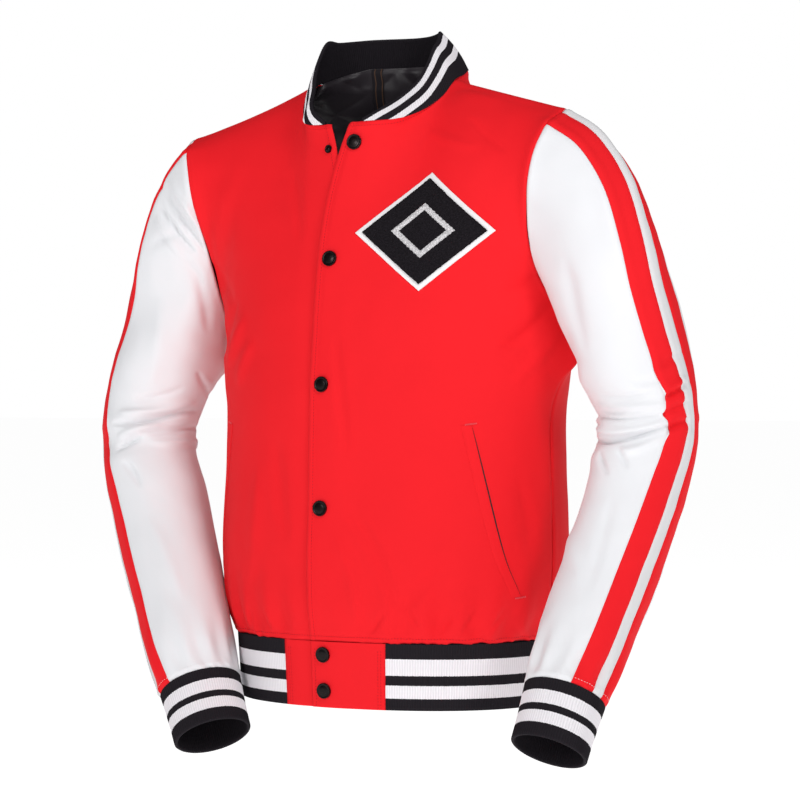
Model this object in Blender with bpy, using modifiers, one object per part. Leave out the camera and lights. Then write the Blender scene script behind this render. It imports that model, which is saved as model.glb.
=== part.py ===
"""Softshell bomber jacket with knitted rib collar, cuffs and hem, worn shape, no wearer.

Front faces -Y, the wearer's left is +X, up is +Z. The origin is where the shoulders carry it:
the middle of the neck opening, level with the shoulder seams' inner ends.
Tables are in millimetres, with heights counted from a level round the middle of the body
that lies 330 mm below the origin. make() turns everything into metres.
"""

import math

import bpy
import numpy as np
from mathutils import Vector

MM = 0.001
LEVEL_BELOW_ORIGIN = 330.0

# Walls and gaps
SHELL_WALL = 2.4
RIB_WALL = 3.6
TAB_WALL = 2.6
LINING_WALL = 2.2
LINING_GAP = 1.4
SEAM_GAP = 0.3
TIGHT_SEAM_GAP = 1.0
UNDERARM_GAP = 0.5


# Body, one column per side of the centre front or centre back
NECK_COLUMNS = 6
SHOULDER_COLUMNS = 8
COLUMNS = NECK_COLUMNS + SHOULDER_COLUMNS
SHOULDER_X = 227.0
SHOULDER_Y = -40.0
SHOULDER_HEIGHT = 281.0
NECK_X = 85.0
NECK_Y = -18.0
NECK_SIDE_LEFT = 322.0
NECK_SIDE_RIGHT = 330.0
NECK_RISE_LEFT = 1.87
NECK_RISE_RIGHT = 1.15
NECK_TURN_LEFT = 24.0
NECK_TURN_RIGHT = 5.0
SHOULDER_DIP_RIGHT = 4.0
NECK_FRONT_Y = -92.0
NECK_FRONT_HEIGHT = 278.5
NECK_BACK_Y = 67.0
NECK_BACK_HEIGHT = 337.0
UNDERARM = (214.0, 8.0, 40.0)
SHOULDER_TILT = 0.018
LEFT_LAP = 15.5
RIGHT_LAP = 9.0
LAP_LIFT = 1.75
LAP_STEPS = 2
OPEN_TOP_LEFT = 23.0
OPEN_TOP_RIGHT = -26.0
TOP_CLOSED_SNAP = 141.0

# height, half width, front depth, back depth, squareness
BODY_RINGS = np.array([
    (-240.0, 171.0, 128.0, 121.0, 2.15),
    (-224.0, 179.0, 131.0, 127.0, 2.15),
    (-205.0, 185.0, 134.0, 132.0, 2.15),
    (-180.0, 188.0, 135.0, 135.0, 2.15),
    (-145.0, 189.0, 135.0, 136.0, 2.15),
    (-105.0, 188.0, 133.0, 136.0, 2.15),
    (-60.0, 187.0, 132.0, 136.0, 2.12),
    (-15.0, 187.0, 131.0, 137.0, 2.10),
    (15.0, 190.0, 130.0, 138.0, 2.08),
    (38.0, 192.0, 128.0, 139.0, 2.05),
])
LOW_ROWS = len(BODY_RINGS) - 1

# Centre front and centre back above the chest ring: height, depth
FRONT_LINE = np.array([(38.0, -128.0), (100.0, -122.0), (146.0, -115.5), (200.0, -106.0), (245.0, -98.0),
                       (NECK_FRONT_HEIGHT, NECK_FRONT_Y)])
BACK_LINE = np.array([(38.0, 139.0), (100.0, 141.0), (150.0, 138.0), (200.0, 129.0), (250.0, 113.0),
                      (300.0, 90.0), (NECK_BACK_HEIGHT, NECK_BACK_Y)])

# Armhole from the underarm up to the shoulder: height, half width, depth
ARMHOLE_FRONT = np.array([
    (40.0, 214.0, 8.0),
    (56.0, 212.0, 5.0),
    (84.0, 205.0, -8.0),
    (115.0, 197.0, -34.0),
    (153.0, 194.0, -57.0),
    (205.0, 202.0, -75.0),
    (240.0, 210.0, -75.0),
    (265.0, 219.0, -66.0),
    (281.0, 227.0, -40.0),
])
ARMHOLE_BACK = np.array([
    (40.0, 214.0, 8.0),
    (52.0, 209.0, 22.0),
    (84.0, 200.0, 38.0),
    (120.0, 196.0, 47.0),
    (165.0, 196.0, 49.0),
    (210.0, 202.0, 40.0),
    (245.0, 211.0, 18.0),
    (268.0, 220.0, -8.0),
    (281.0, 227.0, -40.0),
])
STRIPE_STEPS = (7.5, 19.5, 32.0)
ARM_STEPS = 12
YOKE_ROWS = ARM_STEPS

# Sleeve stations, half width counted outward from the middle of the body:
# row, outward, depth, height, half length across, half depth, outward lean, forward lean, stripe turn
LEFT_ARM = np.array([
    (0.0, 214.0, -12.0, 160.0, 122.0, 66.0, 88.0, 0.0, 0.0),
    (1.0, 228.0, -12.0, 150.0, 112.0, 64.0, 74.0, 0.0, 9.0),
    (2.0, 241.0, -11.0, 134.0, 97.0, 62.0, 58.0, 0.0, 14.0),
    (3.0, 253.0, -10.0, 111.0, 82.0, 61.0, 43.0, -2.0, 18.0),
    (4.0, 265.0, -8.0, 86.0, 68.0, 60.0, 31.0, -3.0, 19.0),
    (6.0, 284.0, -4.0, 36.0, 54.0, 57.0, 19.0, -3.0, 14.0),
    (8.0, 295.0, 0.0, -8.0, 49.0, 50.0, 12.0, 2.0, 4.0),
    (10.0, 293.0, 0.0, -45.0, 49.0, 50.0, 6.0, 12.0, 2.0),
    (12.0, 290.0, -10.0, -81.0, 48.0, 50.0, 0.0, 21.0, 7.0),
    (15.0, 283.0, -37.0, -143.0, 47.0, 48.5, -4.0, 26.0, 11.0),
    (18.0, 273.5, -69.0, -206.0, 45.5, 47.0, -4.0, 28.0, 11.0),
    (20.0, 268.0, -92.0, -248.0, 43.0, 45.0, -3.0, 29.0, 10.0),
    (22.0, 265.0, -110.0, -281.0, 38.5, 41.5, -1.0, 30.0, 10.0),
])
RIGHT_ARM = np.array([
    (0.0, 214.0, -12.0, 160.0, 122.0, 66.0, 88.0, 0.0, 0.0),
    (1.0, 219.0, -11.0, 151.0, 112.0, 61.0, 76.0, 0.0, 0.0),
    (2.0, 226.0, -11.0, 135.0, 97.0, 56.0, 61.0, 2.0, 9.0),
    (3.0, 236.0, -13.0, 112.0, 81.0, 54.0, 45.0, 4.0, 15.0),
    (4.0, 250.0, -16.0, 86.0, 67.0, 55.0, 31.0, 5.0, 18.0),
    (6.0, 275.0, -26.0, 34.0, 56.0, 55.0, 18.0, 6.0, 22.0),
    (8.0, 287.0, -36.0, -14.0, 51.0, 52.0, 8.0, 8.0, 24.0),
    (10.0, 285.0, -43.0, -54.0, 50.0, 51.0, -4.0, 12.0, 30.0),
    (12.0, 269.0, -51.0, -92.0, 52.0, 52.0, -14.0, 15.0, 33.0),
    (15.0, 238.5, -70.0, -154.0, 50.5, 50.0, -24.0, 17.0, 32.0),
    (18.0, 204.0, -93.0, -216.0, 48.0, 48.0, -27.0, 18.0, 30.0),
    (20.0, 179.0, -109.0, -258.0, 45.5, 45.0, -27.0, 20.0, 27.0),
    (22.0, 158.0, -121.0, -294.0, 42.0, 37.0, -30.0, 21.0, 25.0),
])
SLEEVE_ROWS = 22
ELBOW_ROW = 12
CAP_ROWS = 6

# Rib trim
HEM_ROWS = 3
HEM_HEIGHT = 66.0
HEM_DRAW_IN = 4.0
CUFF_LENGTH = 58.0
CUFF_ROWS = 3
CUFF_DRAW_IN = 2.5
COLLAR_HEIGHT = 46.0
COLLAR_ROWS = 3
COLLAR_EXTRA = 0.09
COLLAR_SIDE_DIP = 0.14
COLLAR_LEAN = (15.0, 22.0, 33.0)
COLLAR_RISE = (0.09, 0.33, 0.52, 0.68, 0.80, 0.91)
LEFT_TAB_COLUMNS = 4
RIGHT_TAB_COLUMNS = 3

# Snaps: height on the centre front
SNAP_HEIGHTS = (258.0, 141.0, 15.5, -107.5, -253.0, -289.0)
SNAP_RADIUS = 7.8
SNAP_THICK = 3.2
STUD_HEIGHT = 252.5
STUD_RADIUS = 4.2
STUD_THICK = 2.2

# Pocket welts: x and height of the slit's two ends, and the welt's width
WELT_TOP = (146.0, -25.0)
WELT_FOOT = (178.0, -194.0)
WELT_WIDE = 11.0
WELT_THICK = 1.6
WELT_CLEAR = 1.1
LAY_CLEAR = 0.7

# Chest badge: middle as x and height, then its size and layers
BADGE_MIDDLE = (97.0, 166.0)
BADGE_WIDE = 146.0
BADGE_HIGH = 118.0
BADGE_EDGE = 5.0
FELT_THICK = 1.2
PILE_THICK = 2.4
BADGE_CELLS = 7
RING_OUT = 0.46
RING_IN = 0.34

# Lining in the back of the neck
LINING_FIRST = 9
LINING_LAST = 26
LINING_LAP = {18: 0.8, 19: 0.5, 20: 0.12}
QUILT_STEP = 46.0
QUILT_PUFF = 1.3
TAPE_WIDE = 9.5
TAPE_THICK = 0.9

# Gathers above the hem and the cuffs
HEM_GATHER = 3.2
CUFF_GATHER = 2.4

# Largest folds of the sleeves, in the grid's own steps:
# arm, row from the armhole, columns forward of the pale stripe, reach in rows, in columns, slope, height
SLEEVE_FOLDS = (
    ("left", 8.2, 8.5, 0.75, 4.5, 0.16, -2.0),
    ("left", 9.0, 8.0, 0.75, 5.5, 0.04, 2.6),
    ("left", 10.0, 7.5, 0.75, 5.5, -0.06, -3.4),
    ("left", 11.1, 8.5, 0.80, 3.5, -0.16, 2.0),
    ("left", 5.0, 9.5, 0.90, 3.5, 0.35, -2.5),
    ("left", 6.2, 9.0, 0.90, 3.5, 0.35, 2.4),
    ("left", 2.2, 5.0, 0.90, 3.0, -0.30, 1.8),
    ("right", 8.0, 7.0, 0.75, 4.5, 0.12, -2.4),
    ("right", 9.0, 5.5, 0.75, 6.0, -0.02, 3.0),
    ("right", 10.0, 4.5, 0.75, 4.5, -0.10, -3.0),
    ("right", 11.0, 3.5, 0.80, 3.5, -0.20, 2.2),
    ("right", 2.0, 4.5, 0.80, 3.0, -0.45, 3.2),
    ("right", 3.4, 5.0, 0.90, 3.5, -0.45, -3.4),
    ("right", 5.0, 6.5, 0.90, 3.5, -0.30, 2.6),
)
# The same for the body panels: row from the hem, columns from the panel's first
BODY_FOLDS = (
    ("front_left", 9.5, 14.0, 1.1, 3.5, -0.55, -3.0),
    ("front_left", 11.0, 13.5, 1.1, 3.0, -0.45, 2.4),
    ("front_left", 19.0, 10.0, 0.9, 3.0, 0.25, 1.8),
    ("front_right", 12.0, 2.5, 1.2, 3.0, 0.55, -2.6),
    ("front_right", 14.5, 3.0, 1.2, 3.0, 0.45, 2.2),
    ("back", 14.0, 5.0, 1.2, 4.0, 0.40, 2.4),
    ("back", 14.0, 23.0, 1.2, 4.0, -0.40, 2.4),
    ("back", 4.0, 14.0, 1.4, 7.0, 0.05, 2.2),
)

COLOURS = {
    "shell_red": (0.80, 0.018, 0.028),
    "sleeve_white": (0.80, 0.79, 0.78),
    "stripe_pale": (0.62, 0.62, 0.63),
    "rib_black": (0.02, 0.02, 0.022),
    "lining_black": (0.012, 0.012, 0.014),
    "tape_black": (0.03, 0.025, 0.02),
    "snap_metal": (0.06, 0.06, 0.065),
    "badge_white": (0.75, 0.75, 0.74),
    "badge_black": (0.02, 0.02, 0.022),
}


def unit(v):
    """Vectors scaled to length 1 along the last axis."""
    return v / np.maximum(np.linalg.norm(v, axis=-1, keepdims=True), 1e-12)


def ease(low, high, value):
    """0 below low, 1 above high, smooth between."""
    t = np.clip((np.asarray(value, float) - low) / (high - low), 0.0, 1.0)
    return t * t * (3.0 - 2.0 * t)


def table_curve(table, at):
    """The table's columns at these values of its first column, on a smooth curve through its rows."""
    key = table[:, 0]
    rest = table[:, 1:]
    steps = np.diff(key)[:, None]
    slopes = np.diff(rest, axis=0) / steps
    tangents = np.vstack([slopes[:1], (slopes[:-1] * steps[1:] + slopes[1:] * steps[:-1])
                          / (steps[:-1] + steps[1:]), slopes[-1:]])
    at = np.clip(np.atleast_1d(np.asarray(at, float)), key[0], key[-1])
    i = np.clip(np.searchsorted(key, at, side="right") - 1, 0, len(key) - 2)
    h = (key[i + 1] - key[i])[:, None]
    t = ((at - key[i])[:, None]) / h
    return ((2 * t**3 - 3 * t**2 + 1) * rest[i] + (t**3 - 2 * t**2 + t) * h * tangents[i]
            + (3 * t**2 - 2 * t**3) * rest[i + 1] + (t**3 - t**2) * h * tangents[i + 1])


def walk(points, distances):
    """Points at these distances along a polyline."""
    length = np.concatenate([[0.0], np.cumsum(np.linalg.norm(np.diff(points, axis=0), axis=1))])
    return np.stack([np.interp(distances, length, points[:, k]) for k in range(points.shape[1])], axis=1)


def length_of(points):
    return float(np.linalg.norm(np.diff(points, axis=0), axis=1).sum())


def quarter_ring(half_width, depth, square, height):
    """COLUMNS + 1 points at even steps from the centre line round to the side."""
    turn = np.linspace(0.0, math.pi / 2.0, 200)
    x = half_width * np.sin(turn) ** (2.0 / square)
    y = depth * np.cos(turn) ** (2.0 / square)
    line = np.stack([x, y, np.full_like(x, height)], axis=1)
    return walk(line, np.linspace(0.0, length_of(line), COLUMNS + 1))


def armhole(table):
    """ARM_STEPS + 1 points from the shoulder down to the underarm, with the stripes' edges first."""
    at = np.linspace(0.0, len(table) - 1.0, 240)
    line = table_curve(np.column_stack([np.arange(len(table)), table]), at)[:, [1, 2, 0]][::-1]
    whole = length_of(line)
    rest = np.linspace(STRIPE_STEPS[-1], whole, ARM_STEPS + 1 - len(STRIPE_STEPS))
    return walk(line, np.concatenate([[0.0], STRIPE_STEPS[:2], rest]))


def top_line(front, side):
    """The neckline from the centre line to the shoulder seam, then the seam out to the armhole."""
    turn = np.linspace(0.0, math.pi / 2.0, 80)
    depth = NECK_FRONT_Y if front else NECK_BACK_Y
    height = NECK_FRONT_HEIGHT if front else NECK_BACK_HEIGHT
    side_height = NECK_SIDE_LEFT if side > 0 else NECK_SIDE_RIGHT
    x = NECK_X * np.sin(turn) ** 0.95
    y = NECK_Y + (depth - NECK_Y) * np.cos(turn) ** 0.95
    rise = (1.0 - np.cos(turn)) ** (NECK_RISE_LEFT if side > 0 else NECK_RISE_RIGHT)
    if not front:
        rise = np.sin(turn) ** (NECK_TURN_LEFT if side > 0 else NECK_TURN_RIGHT)
    z = height + (side_height - height) * rise
    neck = np.stack([x, y, z], axis=1)
    neck = walk(neck, np.linspace(0.0, length_of(neck), NECK_COLUMNS + 1))
    along = np.linspace(0.0, 1.0, SHOULDER_COLUMNS + 1)[1:, None]
    inner = neck[-1]
    outer = np.array([SHOULDER_X, SHOULDER_Y, SHOULDER_HEIGHT])
    seam = inner + (outer - inner) * along
    if side < 0:
        seam[:, 2] -= SHOULDER_DIP_RIGHT * np.sin(math.pi * along[:, 0])
    return np.vstack([neck, seam])


def half_body(front, hand):
    """Grid of one half of the front or back, rows from hem to shoulder, columns from centre to side."""
    rows = []
    for height, half_width, front_depth, back_depth, square in BODY_RINGS:
        depth = -front_depth if front else back_depth
        rows.append(quarter_ring(half_width, depth, square, height))
    low = np.stack(rows)
    # The side flares out to the underarm in the last rows below it.
    side = np.linspace(0.0, 1.0, COLUMNS + 1) ** 6
    flare = ease(-25.0, 40.0, low[:, :1, 2]) ** 2 * side
    low[:, :, 0] += (UNDERARM[0] - 197.0) * flare
    low[:, :, 2] += (UNDERARM[2] - 38.0) * flare
    low[-1, -1] = UNDERARM
    arm = armhole(ARMHOLE_FRONT if front else ARMHOLE_BACK)[::-1]
    arm_at = np.concatenate([[0.0], np.cumsum(np.linalg.norm(np.diff(arm, axis=0), axis=1))])
    arm_at /= arm_at[-1]
    middle_table = FRONT_LINE if front else BACK_LINE
    heights = np.linspace(middle_table[0, 0], middle_table[-1, 0], 60)
    middle = np.column_stack([np.zeros(60), table_curve(middle_table, heights)[:, 0], heights])
    middle = walk(middle, arm_at * length_of(middle))
    top = top_line(front, hand)
    bottom = low[-1]
    yoke = np.zeros((YOKE_ROWS + 1, COLUMNS + 1, 3))
    for c in range(COLUMNS + 1):
        across = c / COLUMNS
        power = 1.25 + 0.55 * ease(0.15, 0.6, across)
        angle = arm_at * math.pi / 2.0
        inward = 1.0 - np.cos(angle) ** (2.0 / power)
        upward = np.sin(angle) ** (2.0 / power)
        yoke[:, c, :2] = bottom[c, :2] + (top[c, :2] - bottom[c, :2]) * inward[:, None]
        yoke[:, c, 2] = bottom[c, 2] + (top[c, 2] - bottom[c, 2]) * upward
    to_side = np.linspace(0.0, 1.0, COLUMNS + 1)[None, :, None]
    arm_error = (arm - yoke[:, -1])[:, None]
    middle_error = (middle - yoke[:, 0])[:, None]
    yoke = yoke + arm_error * to_side**2.2 + middle_error * (1.0 - to_side) ** 1.6
    grid = np.concatenate([low, yoke[1:]])
    for _ in range(6):
        calm = 0.25 * (grid[2:, 1:-1] + grid[:-2, 1:-1] + grid[1:-1, 2:] + grid[1:-1, :-2])
        ramp = ease(LOW_ROWS - 2.0, LOW_ROWS + 2.0, np.arange(1, len(grid) - 1))[:, None, None]
        grid[1:-1, 1:-1] += 0.5 * ramp * (calm - grid[1:-1, 1:-1])
    return grid


def mirrored(grid):
    return grid * np.array([-1.0, 1.0, 1.0])


def ellipse_ring(station, side):
    """The sleeve's ring of 2 * ARM_STEPS points at one station, from the stripe's middle forwards."""
    out, depth, height, across, deep, lean_out, lean_fore, turn = station
    lean_out, lean_fore, turn = (math.radians(v) for v in (lean_out, lean_fore, turn))
    way = np.array([math.sin(lean_out), -math.sin(lean_fore) * math.cos(lean_out), 0.0])
    way[2] = -math.sqrt(max(1.0 - way[0] ** 2 - way[1] ** 2, 1e-6))
    stripe = np.array([math.cos(turn), -math.sin(turn), 0.0])
    if abs(way[0]) > 0.2:
        stripe = stripe + np.array([0.0, 0.0, 1.0]) * math.tan(min(abs(lean_out), 1.45)) * (way[0] > 0)
    stripe = unit(stripe - way * (stripe @ way))
    fore = np.cross(way, stripe)
    fore = fore if fore[1] < 0 else -fore
    centre = np.array([out, depth, height])
    angles = np.linspace(0.0, math.pi, 181)
    halves = []
    for sign in (1.0, -1.0):
        line = (centre + across * np.cos(angles)[:, None] * stripe
                + sign * deep * np.sin(angles)[:, None] * fore)
        rest = np.linspace(STRIPE_STEPS[-1], length_of(line), ARM_STEPS + 1 - len(STRIPE_STEPS))
        halves.append(walk(line, np.concatenate([[0.0], STRIPE_STEPS[:2], rest])))
    ring = np.vstack([halves[0], halves[1][1:-1][::-1]])
    return ring * np.array([side, 1.0, 1.0])


def sleeve(table, hole, side):
    """Rows of rings from the armhole to the cuff. Column 0 is the middle of the pale stripe."""
    stations = table_curve(table, np.arange(SLEEVE_ROWS + 1))
    rings = np.stack([ellipse_ring(s, side) for s in stations])
    rows = np.arange(SLEEVE_ROWS + 1)
    fade = 1.0 - ease(0.0, CAP_ROWS, rows)
    rings = rings + (hole - rings[0])[None] * fade[:, None, None]
    # Under the arm the cloth runs straight from the seam to the end of the cap.
    share = np.clip(rows / CAP_ROWS, 0.0, 1.0)[:, None, None]
    straight = hole[None] * (1.0 - share) + rings[CAP_ROWS][None] * share
    around = np.arange(hole.shape[0])
    low_side = ease(4.0, 8.5, np.minimum(around, hole.shape[0] - around))
    under = low_side[None, :, None] * (rows < CAP_ROWS)[:, None, None]
    return rings + (straight - rings) * under


def tilt(points):
    """The wearer's left shoulder sits a little higher."""
    points = points.copy()
    points[..., 2] += SHOULDER_TILT * points[..., 0] * ease(0.0, 280.0, points[..., 2])
    return points


def open_top(grid, columns, shift):
    """Swings a front's free edge aside above the highest closed snap."""
    grid = grid.copy()
    height = grid[..., 2]
    lift = np.clip((height - TOP_CLOSED_SNAP) / (NECK_FRONT_HEIGHT - TOP_CLOSED_SNAP), 0.0, 1.2)
    near = 1.0 - ease(0.0, 3.6, np.asarray(columns, float))[None, :]
    grid[..., 0] += shift * lift**2.2 * near
    return grid


def gather(grid, rows, depth, closed, seed, plain=()):
    """Uneven shallow pleats: every other column goes in, fading away from the seam."""
    grid = grid.copy()
    uneven = np.random.RandomState(seed).uniform(0.35, 1.0, grid.shape[1])
    wave = np.where(np.arange(grid.shape[1]) % 2 == 0, 1.0, -1.0) * uneven
    if not closed:
        wave[[0, -1]] = 0.0
    wave[list(plain)] = 0.0
    normals = grid_normals(grid, closed)
    for row, share in rows:
        grid[row] += normals[row] * (wave * depth * share)[:, None]
    return grid


def grid_normals(grid, closed=False):
    """Normals across a grid, facing along columns x rows."""
    if closed:
        wide = np.concatenate([grid[:, -1:], grid, grid[:, :1]], axis=1)
        across = wide[:, 2:] - wide[:, :-2]
    else:
        across = np.gradient(grid, axis=1)
    up = np.gradient(grid, axis=0)
    return unit(np.cross(across, up))


class Form:
    """The whole garment as one skin: grids that share points along their seams, with common normals."""

    def __init__(self):
        self.grids = {}
        self.closed = {}

    def add(self, name, grid, closed=False):
        self.grids[name] = grid
        self.closed[name] = closed

    def finish(self):
        sums = {}
        faces = []
        for name, grid in self.grids.items():
            around = np.concatenate([grid, grid[:, :1]], axis=1) if self.closed[name] else grid
            for r in range(around.shape[0] - 1):
                for c in range(around.shape[1] - 1):
                    corners = (around[r, c], around[r, c + 1], around[r + 1, c + 1], around[r + 1, c])
                    area = np.cross(corners[2] - corners[0], corners[3] - corners[1])
                    faces.append((unit(area), [tuple(np.round(p, 2)) for p in corners]))
                    for key in faces[-1][1]:
                        sums.setdefault(key, []).append(area)
        middle = {key: unit(np.sum([unit(a) for a in areas], axis=0)) for key, areas in sums.items()}
        self.normals = {}
        self.plain_normals = {name: np.zeros_like(grid) for name, grid in self.grids.items()}
        for name, grid in self.grids.items():
            flat = np.zeros_like(grid)
            for r in range(grid.shape[0]):
                for c in range(grid.shape[1]):
                    key = tuple(np.round(grid[r, c], 2))
                    lean = np.mean([max(float(unit(a) @ middle[key]), 0.0) for a in sums[key]])
                    flat[r, c] = middle[key] / max(lean, 0.55)
                    self.plain_normals[name][r, c] = middle[key]
            self.normals[name] = flat


def border_way(line, normals, wrap):
    """Along a border: the way in the cloth square to it on its left, stretched at corners."""
    if wrap:
        line = np.vstack([line[-1:], line, line[:1]])
        normals = np.vstack([normals[-1:], normals, normals[:1]])
    steps = np.cross(unit(np.diff(line, axis=0)), unit(normals[1:] + normals[:-1]))
    steps = unit(steps)
    before = steps[:-1] if wrap else np.vstack([steps[:1], steps])
    after = steps[1:] if wrap else np.vstack([steps, steps[-1:]])
    middle = unit(before + after)
    return -middle / np.maximum(np.sum(middle * after, axis=1, keepdims=True), 0.6)


def inset(grid, normals, sides, gap, wrap=False):
    """How far each point moves to draw the grid's border in. sides: bottom, top, left, right."""
    shift = np.zeros_like(grid)
    if "bottom" in sides:
        shift[0] += border_way(grid[0], normals[0], wrap) * gap
    if "top" in sides:
        shift[-1] -= border_way(grid[-1], normals[-1], wrap) * gap
    if "left" in sides:
        shift[:, 0] -= border_way(grid[:, 0], normals[:, 0], False) * gap
    if "right" in sides:
        shift[:, -1] += border_way(grid[:, -1], normals[:, -1], False) * gap
    return shift


def close_grid(outer, inner, wrap):
    """Vertices and faces of a closed wall between an outer and an inner grid."""
    rows, cols = outer.shape[:2]
    points = np.concatenate([outer.reshape(-1, 3), inner.reshape(-1, 3)])
    shift = rows * cols

    def at(r, c):
        return r * cols + c % cols

    faces = []
    last = cols if wrap else cols - 1
    for r in range(rows - 1):
        for c in range(last):
            quad = (at(r, c), at(r, c + 1), at(r + 1, c + 1), at(r + 1, c))
            faces.append(quad)
            faces.append(tuple(shift + v for v in reversed(quad)))
    top = rows - 1
    for c in range(last):
        faces.append((at(0, c + 1), at(0, c), shift + at(0, c), shift + at(0, c + 1)))
        faces.append((at(top, c), at(top, c + 1), shift + at(top, c + 1), shift + at(top, c)))
    if not wrap:
        for r in range(rows - 1):
            faces.append((at(r, 0), at(r + 1, 0), shift + at(r + 1, 0), shift + at(r, 0)))
            faces.append((at(r + 1, cols - 1), at(r, cols - 1), shift + at(r, cols - 1),
                          shift + at(r + 1, cols - 1)))
    return points, faces


def material(name):
    found = bpy.data.materials.get(name)
    if found:
        return found
    made = bpy.data.materials.new(name)
    made.use_nodes = True
    shader = made.node_tree.nodes["Principled BSDF"]
    shader.inputs["Base Color"].default_value = (*COLOURS[name], 1.0)
    metal = name == "snap_metal"
    shader.inputs["Metallic"].default_value = 1.0 if metal else 0.0
    shader.inputs["Roughness"].default_value = 0.35 if metal else 0.85
    return made


def make(name, points, faces, slot, smooth=True):
    """One named object in metres, its outside facing out."""
    points = np.asarray(points, float) - np.array([0.0, 0.0, LEVEL_BELOW_ORIGIN])
    mesh = bpy.data.meshes.new(name)
    mesh.from_pydata((points * MM).tolist(), [], [list(f) for f in faces])
    mesh.materials.append(material(slot))
    mesh.validate()
    obj = bpy.data.objects.new(name, mesh)
    jacket.objects.link(obj)
    if smooth:
        for face in mesh.polygons:
            face.use_smooth = True
    return obj


def make_wall(name, grid, normals, thick, slot, wrap=False, more=None):
    """A wall whose outer skin is the grid, drawn in at its seams. more: how much further, by border."""
    sides = ("bottom", "top") if wrap else ("bottom", "top", "left", "right")
    outer = grid + inset(grid, normals, sides, SEAM_GAP / 2.0, wrap)
    for side, gap in (more or {}).items():
        outer += inset(grid, normals, (side,), gap, wrap)
    points, faces = close_grid(outer, outer - normals * thick, wrap)
    return make(name, points, faces, slot)


for old in list(bpy.data.objects):
    bpy.data.objects.remove(old, do_unlink=True)
jacket = bpy.data.collections.new("softshell_bomber_jacket")
bpy.context.scene.collection.children.link(jacket)

# Body halves
front_half = {"left": half_body(True, 1.0), "right": half_body(True, -1.0)}
back_half = {"left": half_body(False, 1.0), "right": half_body(False, -1.0)}
for name, half in back_half.items():
    half[: LOW_ROWS + 1, -1] = front_half[name][: LOW_ROWS + 1, -1]
    half[-1, NECK_COLUMNS:] = front_half[name][-1, NECK_COLUMNS:]


def front_with_lap(half, lap, side):
    """A front from its free edge to the side, with the lap past the centre front added."""
    steps = LAP_STEPS
    extra = []
    for k in range(steps, 0, -1):
        reach = lap * k / steps
        column = half[:, 0].copy()
        column[:, 0] -= reach
        column[:, 1] += reach**2 / 380.0
        extra.append(column)
    grid = np.concatenate([np.stack(extra, axis=1), half], axis=1)
    columns = np.concatenate([[-0.1, 0.0], np.arange(half.shape[1])])
    grid = open_top(grid, np.maximum(columns, 0), OPEN_TOP_LEFT if side > 0 else -OPEN_TOP_RIGHT)
    lift = LAP_LIFT * side * (1.0 - ease(0.4, 2.2, np.maximum(columns, 0)))
    grid[..., 1] -= lift[None, :]
    return grid if side > 0 else mirrored(grid)


fronts = {
    "left": front_with_lap(front_half["left"], LEFT_LAP, 1.0),
    "right": front_with_lap(front_half["right"], RIGHT_LAP, -1.0),
}
back = np.concatenate([back_half["left"][:, ::-1], mirrored(back_half["right"])[:, 1:]], axis=1)

# Arms: the hole runs from the shoulder forwards, down to the underarm and up the back
holes = {}
for name, side in (("left", 1.0), ("right", -1.0)):
    hole_front = front_half[name][LOW_ROWS:, -1][::-1]
    hole_back = back_half[name][LOW_ROWS:, -1]
    hole = np.vstack([hole_front, hole_back[1:-1]])
    holes[name] = hole * np.array([side, 1.0, 1.0])
sleeves = {
    "left": sleeve(LEFT_ARM, holes["left"], 1.0),
    "right": sleeve(RIGHT_ARM, holes["right"], -1.0),
}


def rib_ring(edge, way, length, rows, draw_in):
    """Rows of a rib going on from an edge ring along a direction, drawn in a little at its end."""
    centre = edge.mean(axis=0)
    out = []
    for k in range(rows + 1):
        t = k / rows
        row = edge + way * length * t
        row += unit(centre - edge) * draw_in * (math.sin(math.pi * 0.5 * t))
        out.append(row)
    return np.stack(out)


form = Form()
hem_gather_rows = ((1, 1.0), (2, 0.7), (3, 0.3))
body_grids = {"front_left": fronts["left"], "front_right": fronts["right"][:, ::-1], "back": back}
for index, (name, grid) in enumerate(body_grids.items()):
    lap_columns = {"front_left": range(0, LAP_STEPS + 3), "front_right": range(-LAP_STEPS - 3, 0)}
    plain = lap_columns.get(name, ())
    grid = gather(grid, hem_gather_rows, HEM_GATHER, False, 11 + index, plain)
    body_grids[name] = tilt(grid)
    form.add(name, body_grids[name])
for name in ("left", "right"):
    rings = sleeves[name]
    rings = rings[:, ::-1] if name == "left" else rings
    # Roll so that the pale stripe's middle stays column 0 after turning the ring round.
    rings = np.roll(rings, 1, axis=1) if name == "left" else rings
    rings = rings[::-1]
    rings = gather(rings, ((1, 1.0), (2, 0.6)), CUFF_GATHER, True, 21)
    sleeves[name] = tilt(rings)
    form.add("sleeve_" + name, sleeves[name], closed=True)

# Rib cuffs go on from the sleeves' last ring
cuffs = {}
for name, table, side in (("left", LEFT_ARM, 1.0), ("right", RIGHT_ARM, -1.0)):
    lean_out, lean_fore = (math.radians(v) for v in table[-1, 6:8])
    way = np.array([side * math.sin(lean_out), -math.sin(lean_fore) * math.cos(lean_out), 0.0])
    way[2] = -math.sqrt(1.0 - way[0] ** 2 - way[1] ** 2)
    cuffs[name] = rib_ring(sleeves[name][0], way, CUFF_LENGTH, CUFF_ROWS, CUFF_DRAW_IN)[::-1]
    form.add("cuff_" + name, cuffs[name], closed=True)

# Hem ring: the bottom row of the left front, back and right front, carried down
hem = {}
down = np.array([0.0, 0.0, -1.0])
for name, grid in body_grids.items():
    edge = grid[0]
    rows = []
    for k in range(HEM_ROWS + 1):
        t = k / HEM_ROWS
        row = edge + down * HEM_HEIGHT * t
        row[:, :2] *= 1.0 - HEM_DRAW_IN / 150.0 * t
        rows.append(row)
    hem[name] = np.stack(rows)[::-1]
    form.add("hem_" + name, hem[name])

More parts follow.
